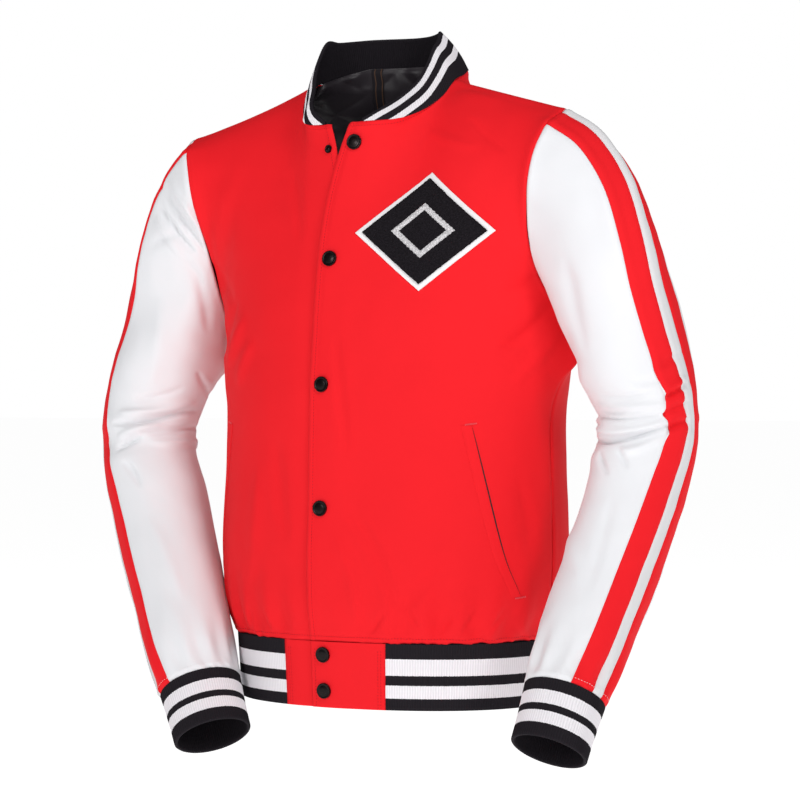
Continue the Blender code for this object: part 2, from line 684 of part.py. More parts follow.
# Collar: a band that stands on the neckline, low at its front ends
neck_l = body_grids["front_left"][-1, LAP_STEPS:LAP_STEPS + NECK_COLUMNS]
neck_b = body_grids["back"][-1, SHOULDER_COLUMNS:SHOULDER_COLUMNS + 2 * NECK_COLUMNS + 1]
neck_r = body_grids["front_right"][-1, SHOULDER_COLUMNS + 1:COLUMNS + 1]
neckline = np.vstack([neck_l, neck_b, neck_r])
ends = np.array(COLLAR_RISE)
behind = 1.0 + COLLAR_EXTRA * ease(0.0, 70.0, neck_b[:, 0])
behind -= COLLAR_SIDE_DIP * (1.0 - ease(NECK_Y, 30.0, neck_b[:, 1])) * (neck_b[:, 0] > 0.0)
rise = COLLAR_HEIGHT * np.concatenate([ends, behind, ends[::-1]])
neck_middle = np.array([0.0, NECK_Y, 0.0])
inward = (neck_middle - neckline) * np.array([1.0, 1.0, 0.0])
inward = unit(inward)
lean = np.radians(np.interp(neckline[:, 0], (-NECK_X, 0.0, NECK_X), COLLAR_LEAN))
collar_rows = []
for k in range(COLLAR_ROWS + 1):
    t = k / COLLAR_ROWS
    angle = lean * (0.75 + 0.4 * t)
    reach = (rise * t)[:, None]
    collar_rows.append(neckline + inward * np.sin(angle)[:, None] * reach
                       + np.array([0.0, 0.0, 1.0]) * np.cos(angle)[:, None] * reach)
collar = np.stack(collar_rows)
form.add("collar", collar)
form.finish()


def fold_height(shape, row, column, reach_rows, reach_columns, slope, height, wrap):
    """How far one soft fold lifts each point of a grid."""
    r = np.arange(shape[0])[:, None] - row
    c = np.arange(shape[1])[None, :] - column
    if wrap:
        c = (c + shape[1] / 2.0) % shape[1] - shape[1] / 2.0
    along = np.clip(np.abs(c) / reach_columns, 0.0, 1.0)
    return height * np.exp(-(((r - slope * c) / reach_rows) ** 2)) * np.cos(along * math.pi / 2.0) ** 2


lifts = {name: np.zeros(grid.shape[:2]) for name, grid in form.grids.items()}
for arm, row, forward, reach_rows, reach_columns, slope, height in SLEEVE_FOLDS:
    name = "sleeve_" + arm
    way = 1.0 if arm == "right" else -1.0
    shape = form.grids[name].shape
    lift = fold_height(shape, SLEEVE_ROWS - row, way * forward % shape[1], reach_rows, reach_columns,
                       -way * slope, height, True)
    from_ends = np.minimum(np.arange(shape[0]), SLEEVE_ROWS - np.arange(shape[0]))
    lifts[name] += lift * ease(0.0, 2.0, from_ends)[:, None]
for name, row, column, reach_rows, reach_columns, slope, height in BODY_FOLDS:
    shape = form.grids[name].shape
    lift = fold_height(shape, row, column, reach_rows, reach_columns, slope, height, False)
    border = np.minimum(np.arange(shape[1]), shape[1] - 1 - np.arange(shape[1]))
    top = np.minimum(np.arange(shape[0]), shape[0] - 1 - np.arange(shape[0]))
    lifts[name] += lift * ease(0.0, 2.0, border)[None, :] * ease(0.0, 2.0, top)[:, None]
for name, lift in lifts.items():
    form.grids[name] += form.plain_normals[name] * lift[..., None]
form.finish()

# Body panels
for name, grid in body_grids.items():
    make_wall(name, grid, form.normals[name], SHELL_WALL, "shell_red")

# Sleeve strips: (name, first column, last column, slot) round the ring
for name in ("left", "right"):
    ring = sleeves[name]
    normals = form.normals["sleeve_" + name]
    count = ring.shape[1]
    fore_first = name == "right"
    strips = [("pale", -1, 1, "stripe_pale"), ("red_a", 1, 3, "shell_red"), ("red_b", 21, 23, "shell_red"),
              ("white_a", 3, 12, "sleeve_white"), ("white_b", 12, 21, "sleeve_white")]
    for label, first, last, slot in strips:
        at = np.arange(first, last + 1) % count
        front_side = label.endswith("_a") == fore_first
        plain = {"pale": "pale", "red": "red", "white": "white"}[label.split("_")[0]]
        title = plain if plain == "pale" else plain + ("_front" if front_side else "_back")
        under_side = "right" if label.endswith("_a") else "left"
        more = {under_side: UNDERARM_GAP} if plain == "white" else {}
        to_armhole = {"top": TIGHT_SEAM_GAP} if plain == "white" else {}
        # The back panel is deeply hollow, so it is two solids that meet in the elbow's crease.
        lengths = {"": (0, SLEEVE_ROWS)}
        if title == "white_back":
            lengths = {"_lower": (0, ELBOW_ROW), "_upper": (ELBOW_ROW, SLEEVE_ROWS)}
        for part, (low, high) in lengths.items():
            rows = slice(low, high + 1)
            gaps = {**more, **(to_armhole if high == SLEEVE_ROWS else {})}
            make_wall(f"sleeve_{name}_{title}{part}", ring[rows, at], normals[rows, at], SHELL_WALL, slot,
                      more=gaps)

# Cuffs
for name in ("left", "right"):
    make_wall("cuff_" + name, cuffs[name], form.normals["cuff_" + name], RIB_WALL, "rib_black", wrap=True)

# Hem rib and tabs
left_cols = LEFT_TAB_COLUMNS + LAP_STEPS
right_cols = RIGHT_TAB_COLUMNS + LAP_STEPS
left_hem = hem["front_left"]
right_hem = hem["front_right"]
left_ways = form.normals["hem_front_left"]
right_ways = form.normals["hem_front_right"]
left_end = slice(0, left_cols + 1)
right_end = slice(-right_cols - 1, None)
make_wall("tab_left", left_hem[:, left_end], left_ways[:, left_end], TAB_WALL, "shell_red")
make_wall("tab_right", right_hem[:, right_end], right_ways[:, right_end], TAB_WALL, "shell_red")
rib_grid = np.concatenate([left_hem[:, left_cols:-1], hem["back"][:, :-1],
                           right_hem[:, :-right_cols]], axis=1)
rib_ways = np.concatenate([left_ways[:, left_cols:-1], form.normals["hem_back"][:, :-1],
                           right_ways[:, :-right_cols]], axis=1)
make_wall("hem_rib", rib_grid, rib_ways, RIB_WALL, "rib_black")

make_wall("collar_rib", collar, form.normals["collar"], RIB_WALL, "rib_black",
          more={"bottom": TIGHT_SEAM_GAP})


def section(grid, normals, height):
    """Where the grid's columns cross this height: points and normals, from its first column to its last."""
    points = []
    ways = []
    for c in range(grid.shape[1]):
        level = grid[:, c, 2]
        r = int(np.clip(np.searchsorted(level, height) - 1, 0, len(level) - 2))
        t = (height - level[r]) / (level[r + 1] - level[r])
        points.append(grid[r, c] + (grid[r + 1, c] - grid[r, c]) * t)
        ways.append(normals[r, c] + (normals[r + 1, c] - normals[r, c]) * t)
    return np.array(points), np.array(ways)


def spot(grid, normals, x, height, aside=0.0):
    """Point and normal at this x and height, then aside along the cloth away from the centre front."""
    points, ways = section(grid, normals, height)
    if points[0, 0] > points[-1, 0]:
        points, ways = points[::-1], ways[::-1]
    length = np.concatenate([[0.0], np.cumsum(np.linalg.norm(np.diff(points, axis=0), axis=1))])
    at = np.interp(x, points[:, 0], length) + aside
    point = np.array([np.interp(at, length, points[:, k]) for k in range(3)])
    way = np.array([np.interp(at, length, ways[:, k]) for k in range(3)])
    return point, unit(way)


def lay(name, where, low, high, slot, wrap=False):
    """A piece laid on a panel: where is a grid of (point, normal), low and high its two faces above it."""
    points = np.array([[spot_[0] for spot_ in row] for row in where])
    ways = np.array([[spot_[1] for spot_ in row] for row in where])
    solid, faces = close_grid(points + ways * high, points + ways * low, wrap)
    return make(name, solid, faces, slot)


left_front = (body_grids["front_left"], form.normals["front_left"])
right_front = (body_grids["front_right"], form.normals["front_right"])

# Pocket welts, on the centre-front side of each slit
for name, panel, side in (("welt_left", left_front, 1.0), ("welt_right", right_front, -1.0)):
    rows = []
    for t in np.linspace(1.0, 0.0, 12):
        x, height = np.array(WELT_TOP) + (np.array(WELT_FOOT) - np.array(WELT_TOP)) * t
        shares = (-1.0, -0.5, 0.0) if side > 0 else (0.0, 0.5, 1.0)
        rows.append([spot(*panel, x * side, height, share * WELT_WIDE) for share in shares])
    lay(name, rows, WELT_CLEAR, WELT_CLEAR + WELT_THICK, "shell_red")


def diamond(scale_wide, scale_high, cells):
    """Spots of a diamond-shaped grid round the badge's middle."""
    x, height = BADGE_MIDDLE
    rows = []
    for i in range(cells + 1):
        row = []
        for j in range(cells + 1):
            a = i / cells
            b = j / cells
            level = height + (a + b - 1.0) * scale_high / 2.0
            row.append(spot(*left_front, x, level, (b - a) * scale_wide / 2.0))
        rows.append(row)
    return rows


def diamond_ring(outer, inner, steps):
    """Spots of a diamond-shaped frame: a row along its inner edge and one along its outer edge."""
    x, height = BADGE_MIDDLE
    rows = []
    for share in (inner, outer):
        row = []
        for k in range(4 * steps):
            side, t = divmod(k, steps)
            t /= steps
            corners = ((0.0, -1.0), (1.0, 0.0), (0.0, 1.0), (-1.0, 0.0), (0.0, -1.0))
            p = np.array(corners[side]) * (1.0 - t) + np.array(corners[side + 1]) * t
            level = height + p[1] * share * BADGE_HIGH / 2.0
            row.append(spot(*left_front, x, level, p[0] * share * BADGE_WIDE / 2.0))
        rows.append(row)
    return rows[::-1]


felt_top = LAY_CLEAR + FELT_THICK
pile_top = felt_top + 0.45 + PILE_THICK
lay("badge_felt", diamond(BADGE_WIDE, BADGE_HIGH, BADGE_CELLS), LAY_CLEAR, felt_top, "badge_white")
shrink = 1.0 - 2.0 * BADGE_EDGE * math.hypot(BADGE_WIDE, BADGE_HIGH) / (BADGE_WIDE * BADGE_HIGH)
pile_spots = diamond(BADGE_WIDE * shrink, BADGE_HIGH * shrink, BADGE_CELLS)
lay("badge_pile", pile_spots, felt_top + 0.45, pile_top, "badge_black")
ring_spots = diamond_ring(RING_OUT, RING_IN, 4)
lay("badge_motif", ring_spots, pile_top + 0.3, pile_top + 1.3, "badge_white", wrap=True)

# Lining: from a lap on the collar's inside down the inside of the back
lining_cols = range(LINING_FIRST, LINING_LAST + 1)
lining_paths = []
lining_ways = []
back_grid, back_ways = body_grids["back"], form.normals["back"]
last_neck = SHOULDER_COLUMNS + 2 * NECK_COLUMNS
for c in lining_cols:
    at = NECK_COLUMNS + c - SHOULDER_COLUMNS
    body_rows = (-1, -2, -3, -4, -5, -7)
    path = [back_grid[r, c] - back_ways[r, c] * (SHELL_WALL + LINING_GAP) for r in body_rows]
    ways = [back_ways[r, c] for r in body_rows]
    if c <= last_neck:
        ways_here = form.normals["collar"]
        lap = collar[0, at] + (collar[1, at] - collar[0, at]) * LINING_LAP.get(c, 1.0)
        path[0] = collar[0, at] - ways_here[0, at] * (RIB_WALL + LINING_GAP)
        path.insert(0, lap - ways_here[1, at] * (RIB_WALL + LINING_GAP))
        ways.insert(0, ways_here[1, at])
    else:
        path[0] = path[0] + unit(path[1] - path[0]) * 1.5
        path.insert(0, path[0])
        path[1] = 0.5 * (path[0] + path[2])
        ways.insert(0, ways[0])
    if c >= last_neck:
        path = [p - way * 0.8 for p, way in zip(path, ways)]
    lining_paths.append(np.array(path))
    lining_ways.append(np.array(ways))


def halve(rows):
    """The rows with a middle one put between each two."""
    rows = np.asarray(rows)
    out = np.repeat(rows, 2, axis=0)[:-1].copy()
    out[1::2] = 0.5 * (rows[:-1] + rows[1:])
    return out


lining_back = halve(lining_paths).transpose(1, 0, 2)
lining_way = unit(halve(lining_ways).transpose(1, 0, 2))
lining_back = np.concatenate([lining_back[:3], halve(lining_back[2:])[1:]])
lining_way = unit(np.concatenate([lining_way[:3], halve(lining_way[2:])[1:]]))
across = lining_back[..., 0]
down = -lining_back[..., 2]
diagonal_a = np.abs(np.sin(math.pi * (across * 0.8 + down) / QUILT_STEP))
diagonal_b = np.abs(np.sin(math.pi * (across * 0.8 - down) / QUILT_STEP))
puff = QUILT_PUFF * np.minimum(diagonal_a, diagonal_b)
tape_x = np.array([-47.0, -58.0])
tape_near = 1.0 - ease(9.0, 16.0, np.abs(across - tape_x.mean()))
puff *= 1.0 - tape_near
lining_front = lining_back - lining_way * (LINING_WALL + puff)[..., None]
lining_points, lining_faces = close_grid(lining_front, lining_back, False)
make("neck_lining", lining_points, lining_faces, "lining_black")

# Bare woven tape that hangs over the lining
tape_rows = []
for r in range(len(lining_front) - 1):
    share = r / (len(lining_front) - 1.0)
    middle = tape_x[0] + (tape_x[1] - tape_x[0]) * share
    row = []
    for aside in (TAPE_WIDE / 2.0, -TAPE_WIDE / 2.0):
        order = np.argsort(lining_front[r, :, 0])
        xs = lining_front[r, order, 0]
        point = np.array([np.interp(middle + aside, xs, lining_front[r, order, k]) for k in range(3)])
        way = np.array([np.interp(middle + aside, xs, lining_way[r, order, k]) for k in range(3)])
        row.append((point, -unit(way)))
    tape_rows.append(row)
lay("neck_tape", tape_rows, 0.6, 0.6 + TAPE_THICK, "tape_black")


def snap(name, point, way, radius, thick, steps):
    """A pressed metal snap part, turned round its own axis and set on the cloth."""
    profile = [(0.0, thick), (0.55 * radius, 0.97 * thick), (0.86 * radius, 0.74 * thick),
               (radius, 0.34 * thick), (0.97 * radius, 0.0), (0.0, 0.0)]
    mesh = bpy.data.meshes.new(name)
    mesh.from_pydata([(x * MM, 0.0, z * MM) for x, z in profile], [(k, k + 1) for k in range(5)], [])
    mesh.materials.append(material("snap_metal"))
    obj = bpy.data.objects.new(name, mesh)
    jacket.objects.link(obj)
    turn = obj.modifiers.new("turn", "SCREW")
    turn.axis = "Z"
    turn.angle = 2.0 * math.pi
    turn.steps = steps
    turn.render_steps = steps
    turn.use_merge_vertices = True
    turn.merge_threshold = 0.00001
    turn.use_smooth_shade = True
    place = (np.asarray(point) - np.array([0.0, 0.0, LEVEL_BELOW_ORIGIN])) * MM
    obj.location = place.tolist()
    obj.rotation_mode = "QUATERNION"
    obj.rotation_quaternion = Vector(way.tolist()).to_track_quat("Z", "Y")
    return obj


left_hem = (hem["front_left"], form.normals["hem_front_left"])
for index, height in enumerate(SNAP_HEIGHTS):
    panel = left_front if index < 4 else left_hem
    points, ways = section(*panel, height)
    way = unit(ways[LAP_STEPS])
    snap(f"snap_{index + 1}", points[LAP_STEPS] + way * LAY_CLEAR, way, SNAP_RADIUS, SNAP_THICK, 14)
points, ways = section(*right_front, STUD_HEIGHT)
way = unit(ways[COLUMNS])
snap("snap_stud", points[COLUMNS] + way * LAY_CLEAR, way, STUD_RADIUS, STUD_THICK, 12)
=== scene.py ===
# %% [markdown]
# # A softshell bomber jacket in worn shape, with nobody in it
# The CAD part gives the true sizes as faceted walls. This lesson keeps its form and puts the cloth on it:
# fine skins with seams, creases and gathers, knitted rib trim, quilted lining, snaps, stitches and
# finishes.

# %%
import math

import bpy
import numpy as np
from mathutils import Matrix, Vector


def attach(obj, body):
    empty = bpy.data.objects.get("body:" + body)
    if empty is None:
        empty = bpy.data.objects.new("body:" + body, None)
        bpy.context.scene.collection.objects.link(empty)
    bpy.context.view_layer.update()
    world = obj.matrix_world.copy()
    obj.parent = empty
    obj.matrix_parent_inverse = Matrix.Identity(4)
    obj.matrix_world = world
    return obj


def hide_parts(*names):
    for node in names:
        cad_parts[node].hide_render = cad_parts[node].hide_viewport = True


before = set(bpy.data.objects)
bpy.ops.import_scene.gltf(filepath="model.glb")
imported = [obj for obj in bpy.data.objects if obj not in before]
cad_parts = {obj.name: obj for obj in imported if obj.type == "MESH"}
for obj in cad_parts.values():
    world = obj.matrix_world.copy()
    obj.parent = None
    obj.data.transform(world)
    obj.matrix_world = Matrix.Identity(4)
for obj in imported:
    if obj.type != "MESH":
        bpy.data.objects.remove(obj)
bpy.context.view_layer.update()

# %% [markdown]
# ## The form
# The jacket is a few grids of points that share their seams: two fronts, a back, two sleeves, cuffs, hem
# and collar. They come from the same short tables as the solids, in millimetres, so the fine cloth lies on
# its solid. A grid is the handiest form for cloth, because a seam, a gather or a rib can be said in steps
# along it.

# %%
MM = 0.001
LEVEL_BELOW_ORIGIN = 330.0

# Walls of the solids and the gap behind them, then the walls of the fine cloth
SHELL_WALL = 2.4
RIB_WALL = 3.6
LINING_WALL = 2.2
LINING_GAP = 1.4
PANEL_THIN = 1.3
SLEEVE_THIN = 1.2
RIB_THIN = 3.4
TAB_THIN = 2.6
LINING_THIN = 0.8
TAPE_THIN = 0.7
BADGE_THIN = 0.35

SIDES = {"left": 1.0, "right": -1.0}
# Body, one column per side of the centre front or centre back
NECK_COLUMNS = 6
SHOULDER_COLUMNS = 8
COLUMNS = NECK_COLUMNS + SHOULDER_COLUMNS
SHOULDER_X = 227.0
SHOULDER_Y = -40.0
SHOULDER_HEIGHT = 281.0
NECK_X = 85.0
NECK_Y = -18.0
NECK_SIDE_LEFT = 322.0
NECK_SIDE_RIGHT = 330.0
NECK_RISE_LEFT = 1.87
NECK_RISE_RIGHT = 1.15
NECK_TURN_LEFT = 24.0
NECK_TURN_RIGHT = 5.0
SHOULDER_DIP_RIGHT = 4.0
NECK_FRONT_Y = -92.0
NECK_FRONT_HEIGHT = 278.5
NECK_BACK_Y = 67.0
NECK_BACK_HEIGHT = 337.0
UNDERARM = (214.0, 8.0, 40.0)
FLARE_FROM_X = 197.0
SHOULDER_TILT = 0.018
LEFT_LAP = 15.5
RIGHT_LAP = 9.0
LAP_LIFT = 1.75
LAP_STEPS = 2
LAP_BEND = 380.0
OPEN_TOP_LEFT = 23.0
OPEN_TOP_RIGHT = -26.0
TOP_CLOSED_SNAP = 141.0

# height, half width, front depth, back depth, squareness
BODY_RINGS = np.array([
    (-240, 171, 128, 121, 2.15),
    (-224, 179, 131, 127, 2.15),
    (-205, 185, 134, 132, 2.15),
    (-180, 188, 135, 135, 2.15),
    (-145, 189, 135, 136, 2.15),
    (-105, 188, 133, 136, 2.15),
    (-60, 187, 132, 136, 2.12),
    (-15, 187, 131, 137, 2.10),
    (15, 190, 130, 138, 2.08),
    (38, 192, 128, 139, 2.05),
])
LOW_ROWS = len(BODY_RINGS) - 1

# Centre front and centre back above the chest ring: height, depth
FRONT_LINE = np.array([(38.0, -128.0), (100.0, -122.0), (146.0, -115.5), (200.0, -106.0), (245.0, -98.0),
                       (NECK_FRONT_HEIGHT, NECK_FRONT_Y)])
BACK_LINE = np.array([(38.0, 139.0), (100.0, 141.0), (150.0, 138.0), (200.0, 129.0), (250.0, 113.0),
                      (300.0, 90.0), (NECK_BACK_HEIGHT, NECK_BACK_Y)])

# Armhole from the underarm up to the shoulder: height, half width, depth
ARMHOLE_FRONT = np.array([
    (40, 214, 8),
    (56, 212, 5),
    (84, 205, -8),
    (115, 197, -34),
    (153, 194, -57),
    (205, 202, -75),
    (240, 210, -75),
    (265, 219, -66),
    (281, 227, -40),
], float)
ARMHOLE_BACK = np.array([
    (40, 214, 8),
    (52, 209, 22),
    (84, 200, 38),
    (120, 196, 47),
    (165, 196, 49),
    (210, 202, 40),
    (245, 211, 18),
    (268, 220, -8),
    (281, 227, -40),
], float)
STRIPE_STEPS = (7.5, 19.5, 32.0)
ARM_STEPS = 12
AROUND = 2 * ARM_STEPS
YOKE_ROWS = ARM_STEPS

# Sleeve stations, half width counted outward from the middle of the body:
# row, outward, depth, height, half length across, half depth, outward lean, forward lean, stripe turn
LEFT_ARM = np.array([
    (0, 214, -12, 160, 122, 66, 88, 0, 0),
    (1, 228, -12, 150, 112, 64, 74, 0, 9),
    (2, 241, -11, 134, 97, 62, 58, 0, 14),
    (3, 253, -10, 111, 82, 61, 43, -2, 18),
    (4, 265, -8, 86, 68, 60, 31, -3, 19),
    (6, 284, -4, 36, 54, 57, 19, -3, 14),
    (8, 295, 0, -8, 49, 50, 12, 2, 4),
    (10, 293, 0, -45, 49, 50, 6, 12, 2),
    (12, 290, -10, -81, 48, 50, 0, 21, 7),
    (15, 283, -37, -143, 47, 48.5, -4, 26, 11),
    (18, 273.5, -69, -206, 45.5, 47, -4, 28, 11),
    (20, 268, -92, -248, 43, 45, -3, 29, 10),
    (22, 265, -110, -281, 38.5, 41.5, -1, 30, 10),
])
RIGHT_ARM = np.array([
    (0, 214, -12, 160, 122, 66, 88, 0, 0),
    (1, 219, -11, 151, 112, 61, 76, 0, 0),
    (2, 226, -11, 135, 97, 56, 61, 2, 9),
    (3, 236, -13, 112, 81, 54, 45, 4, 15),
    (4, 250, -16, 86, 67, 55, 31, 5, 18),
    (6, 275, -26, 34, 56, 55, 18, 6, 22),
    (8, 287, -36, -14, 51, 52, 8, 8, 24),
    (10, 285, -43, -54, 50, 51, -4, 12, 30),
    (12, 269, -51, -92, 52, 52, -14, 15, 33),
    (15, 238.5, -70, -154, 50.5, 50, -24, 17, 32),
    (18, 204, -93, -216, 48, 48, -27, 18, 30),
    (20, 179, -109, -258, 45.5, 45, -27, 20, 27),
    (22, 158, -121, -294, 42, 37, -30, 21, 25),
])
ARMS = {"left": LEFT_ARM, "right": RIGHT_ARM}
SLEEVE_ROWS = 22
CAP_ROWS = 6

# Rib trim
HEM_ROWS = 3
HEM_HEIGHT = 66.0
HEM_DRAW_IN = 4.0
CUFF_LENGTH = 58.0
CUFF_ROWS = 3
CUFF_DRAW_IN = 2.5
COLLAR_HEIGHT = 46.0
COLLAR_ROWS = 3
COLLAR_EXTRA = 0.09
COLLAR_SIDE_DIP = 0.14
COLLAR_LEAN = (15.0, 22.0, 33.0)
COLLAR_RISE = (0.09, 0.33, 0.52, 0.68, 0.80, 0.91)
LEFT_TAB_COLUMNS = 4
RIGHT_TAB_COLUMNS = 3

# Snaps: height on the centre front, the first four on the shell and the others on the hem's tab
SHELL_SNAPS = 4
SNAP_HEIGHTS = (258.0, 141.0, 15.5, -107.5, -253.0, -289.0)
SNAP_RADIUS = 7.8
SNAP_THICK = 3.2
STUD_HEIGHT = 252.5
STUD_RADIUS = 4.2
STUD_THICK = 2.2

# Pocket welts: x and height of the slit's two ends, and the welt's width
WELT_TOP = (146.0, -25.0)
WELT_FOOT = (178.0, -194.0)
WELT_WIDE = 11.0
LAY_CLEAR = 0.7

# Chest badge: middle as x and height, then its size and layers
BADGE_MIDDLE = (97.0, 166.0)
BADGE_WIDE = 146.0
BADGE_HIGH = 118.0
BADGE_EDGE = 5.0
FELT_THICK = 1.2
PILE_THICK = 2.4
RING_OUT = 0.46
RING_IN = 0.34

# Lining in the back of the neck
LINING_FIRST = 9
LINING_LAST = 26
LINING_LAP = {18: 0.8, 19: 0.5, 20: 0.12}
LINING_BELOW_SEAM = 1.5
LINING_SEAM_CLEAR = 0.8
QUILT_STEP = 46.0
TAPE_WIDE = 9.5
TAPE_X = (-47.0, -58.0)

# Gathers above the hem and the cuffs
HEM_GATHER = 3.2
CUFF_GATHER = 2.4

# Largest folds of the sleeves, in the grid's own steps:
# arm, row from the armhole, columns forward of the pale stripe, reach in rows, in columns, slope, height
SLEEVE_FOLDS = (
    ("left", 8.2, 8.5, 0.75, 4.5, 0.16, -2),
    ("left", 9, 8, 0.75, 5.5, 0.04, 2.6),
    ("left", 10, 7.5, 0.75, 5.5, -0.06, -3.4),
    ("left", 11.1, 8.5, 0.80, 3.5, -0.16, 2),
    ("left", 5, 9.5, 0.90, 3.5, 0.35, -2.5),
    ("left", 6.2, 9, 0.90, 3.5, 0.35, 2.4),
    ("left", 2.2, 5, 0.90, 3, -0.30, 1.8),
    ("right", 8, 7, 0.75, 4.5, 0.12, -2.4),
    ("right", 9, 5.5, 0.75, 6, -0.02, 3),
    ("right", 10, 4.5, 0.75, 4.5, -0.10, -3),
    ("right", 11, 3.5, 0.80, 3.5, -0.20, 2.2),
    ("right", 2, 4.5, 0.80, 3, -0.45, 3.2),
    ("right", 3.4, 5, 0.90, 3.5, -0.45, -3.4),
    ("right", 5, 6.5, 0.90, 3.5, -0.30, 2.6),
)
# The same for the body panels: row from the hem, columns from the panel's first
BODY_FOLDS = (
    ("front_left", 9.5, 14, 1.1, 3.5, -0.55, -3),
    ("front_left", 11, 13.5, 1.1, 3, -0.45, 2.4),
    ("front_left", 19, 10, 0.9, 3, 0.25, 1.8),
    ("front_right", 12, 2.5, 1.2, 3, 0.55, -2.6),
    ("front_right", 14.5, 3, 1.2, 3, 0.45, 2.2),
    ("back", 14, 5, 1.2, 4, 0.40, 2.4),
    ("back", 14, 23, 1.2, 4, -0.40, 2.4),
    ("back", 4, 14, 1.4, 7, 0.05, 2.2),
)

print("tables:", len(BODY_RINGS), "body rings,", len(LEFT_ARM), "stations on an arm")

# %% [markdown]
# ## From tables to grids
# Small functions draw a smooth curve through a table's rows, walk along it in steps, and fill a half of the
# body or a sleeve with points. Form keeps the grids together and gives them common normals along their
# seams.

# %%
def unit(v):
    """Vectors scaled to length 1 along the last axis."""
    return v / np.maximum(np.linalg.norm(v, axis=-1, keepdims=True), 1e-12)


def ease(low, high, value):
    """0 below low, 1 above high, smooth between."""
    t = np.clip((np.asarray(value, float) - low) / (high - low), 0.0, 1.0)
    return t * t * (3.0 - 2.0 * t)


def table_curve(table, at):
    """The table's columns at these values of its first column, on a smooth curve through its rows."""
    key = table[:, 0]
    rest = table[:, 1:]
    steps = np.diff(key)[:, None]
    slopes = np.diff(rest, axis=0) / steps
    tangents = np.vstack([slopes[:1], (slopes[:-1] * steps[1:] + slopes[1:] * steps[:-1])
                          / (steps[:-1] + steps[1:]), slopes[-1:]])
    at = np.clip(np.atleast_1d(np.asarray(at, float)), key[0], key[-1])
    i = np.clip(np.searchsorted(key, at, side="right") - 1, 0, len(key) - 2)
    h = (key[i + 1] - key[i])[:, None]
    t = ((at - key[i])[:, None]) / h
    return ((2 * t**3 - 3 * t**2 + 1) * rest[i] + (t**3 - 2 * t**2 + t) * h * tangents[i]
            + (3 * t**2 - 2 * t**3) * rest[i + 1] + (t**3 - t**2) * h * tangents[i + 1])


def run_of(points):
    """Distance run along a polyline at each of its points."""
    return np.concatenate([[0.0], np.cumsum(np.linalg.norm(np.diff(points, axis=0), axis=1))])


def read_at(run, table, at):
    """The table's columns where the run reaches these distances."""
    return np.stack([np.interp(at, run, table[:, k]) for k in range(table.shape[1])], axis=-1)


def walk(points, distances):
    """Points at these distances along a polyline."""
    return read_at(run_of(points), points, distances)


def length_of(points):
    """Whole length of a polyline."""
    return float(np.linalg.norm(np.diff(points, axis=0), axis=1).sum())


def quarter_ring(half_width, depth, square, height):
    """COLUMNS + 1 points at even steps from the centre line round to the side."""
    turn = np.linspace(0.0, math.pi / 2.0, 200)
    x = half_width * np.sin(turn) ** (2.0 / square)
    y = depth * np.cos(turn) ** (2.0 / square)
    line = np.stack([x, y, np.full_like(x, height)], axis=1)
    return walk(line, np.linspace(0.0, length_of(line), COLUMNS + 1))


def armhole(table):
    """ARM_STEPS + 1 points from the shoulder down to the underarm, with the stripes' edges first."""
    at = np.linspace(0.0, len(table) - 1.0, 240)
    line = table_curve(np.column_stack([np.arange(len(table)), table]), at)[:, [1, 2, 0]][::-1]
    whole = length_of(line)
    rest = np.linspace(STRIPE_STEPS[-1], whole, ARM_STEPS + 1 - len(STRIPE_STEPS))
    return walk(line, np.concatenate([[0.0], STRIPE_STEPS[:2], rest]))


def top_line(front, side):
    """The neckline from the centre line to the shoulder seam, then the seam out to the armhole."""
    turn = np.linspace(0.0, math.pi / 2.0, 80)
    depth = NECK_FRONT_Y if front else NECK_BACK_Y
    height = NECK_FRONT_HEIGHT if front else NECK_BACK_HEIGHT
    side_height = NECK_SIDE_LEFT if side > 0 else NECK_SIDE_RIGHT
    x = NECK_X * np.sin(turn) ** 0.95
    y = NECK_Y + (depth - NECK_Y) * np.cos(turn) ** 0.95
    rise = (1.0 - np.cos(turn)) ** (NECK_RISE_LEFT if side > 0 else NECK_RISE_RIGHT)
    if not front:
        rise = np.sin(turn) ** (NECK_TURN_LEFT if side > 0 else NECK_TURN_RIGHT)
    z = height + (side_height - height) * rise
    neck = np.stack([x, y, z], axis=1)
    neck = walk(neck, np.linspace(0.0, length_of(neck), NECK_COLUMNS + 1))
    along = np.linspace(0.0, 1.0, SHOULDER_COLUMNS + 1)[1:, None]
    inner = neck[-1]
    outer = np.array([SHOULDER_X, SHOULDER_Y, SHOULDER_HEIGHT])
    seam = inner + (outer - inner) * along
    if side < 0:
        seam[:, 2] -= SHOULDER_DIP_RIGHT * np.sin(math.pi * along[:, 0])
    return np.vstack([neck, seam])


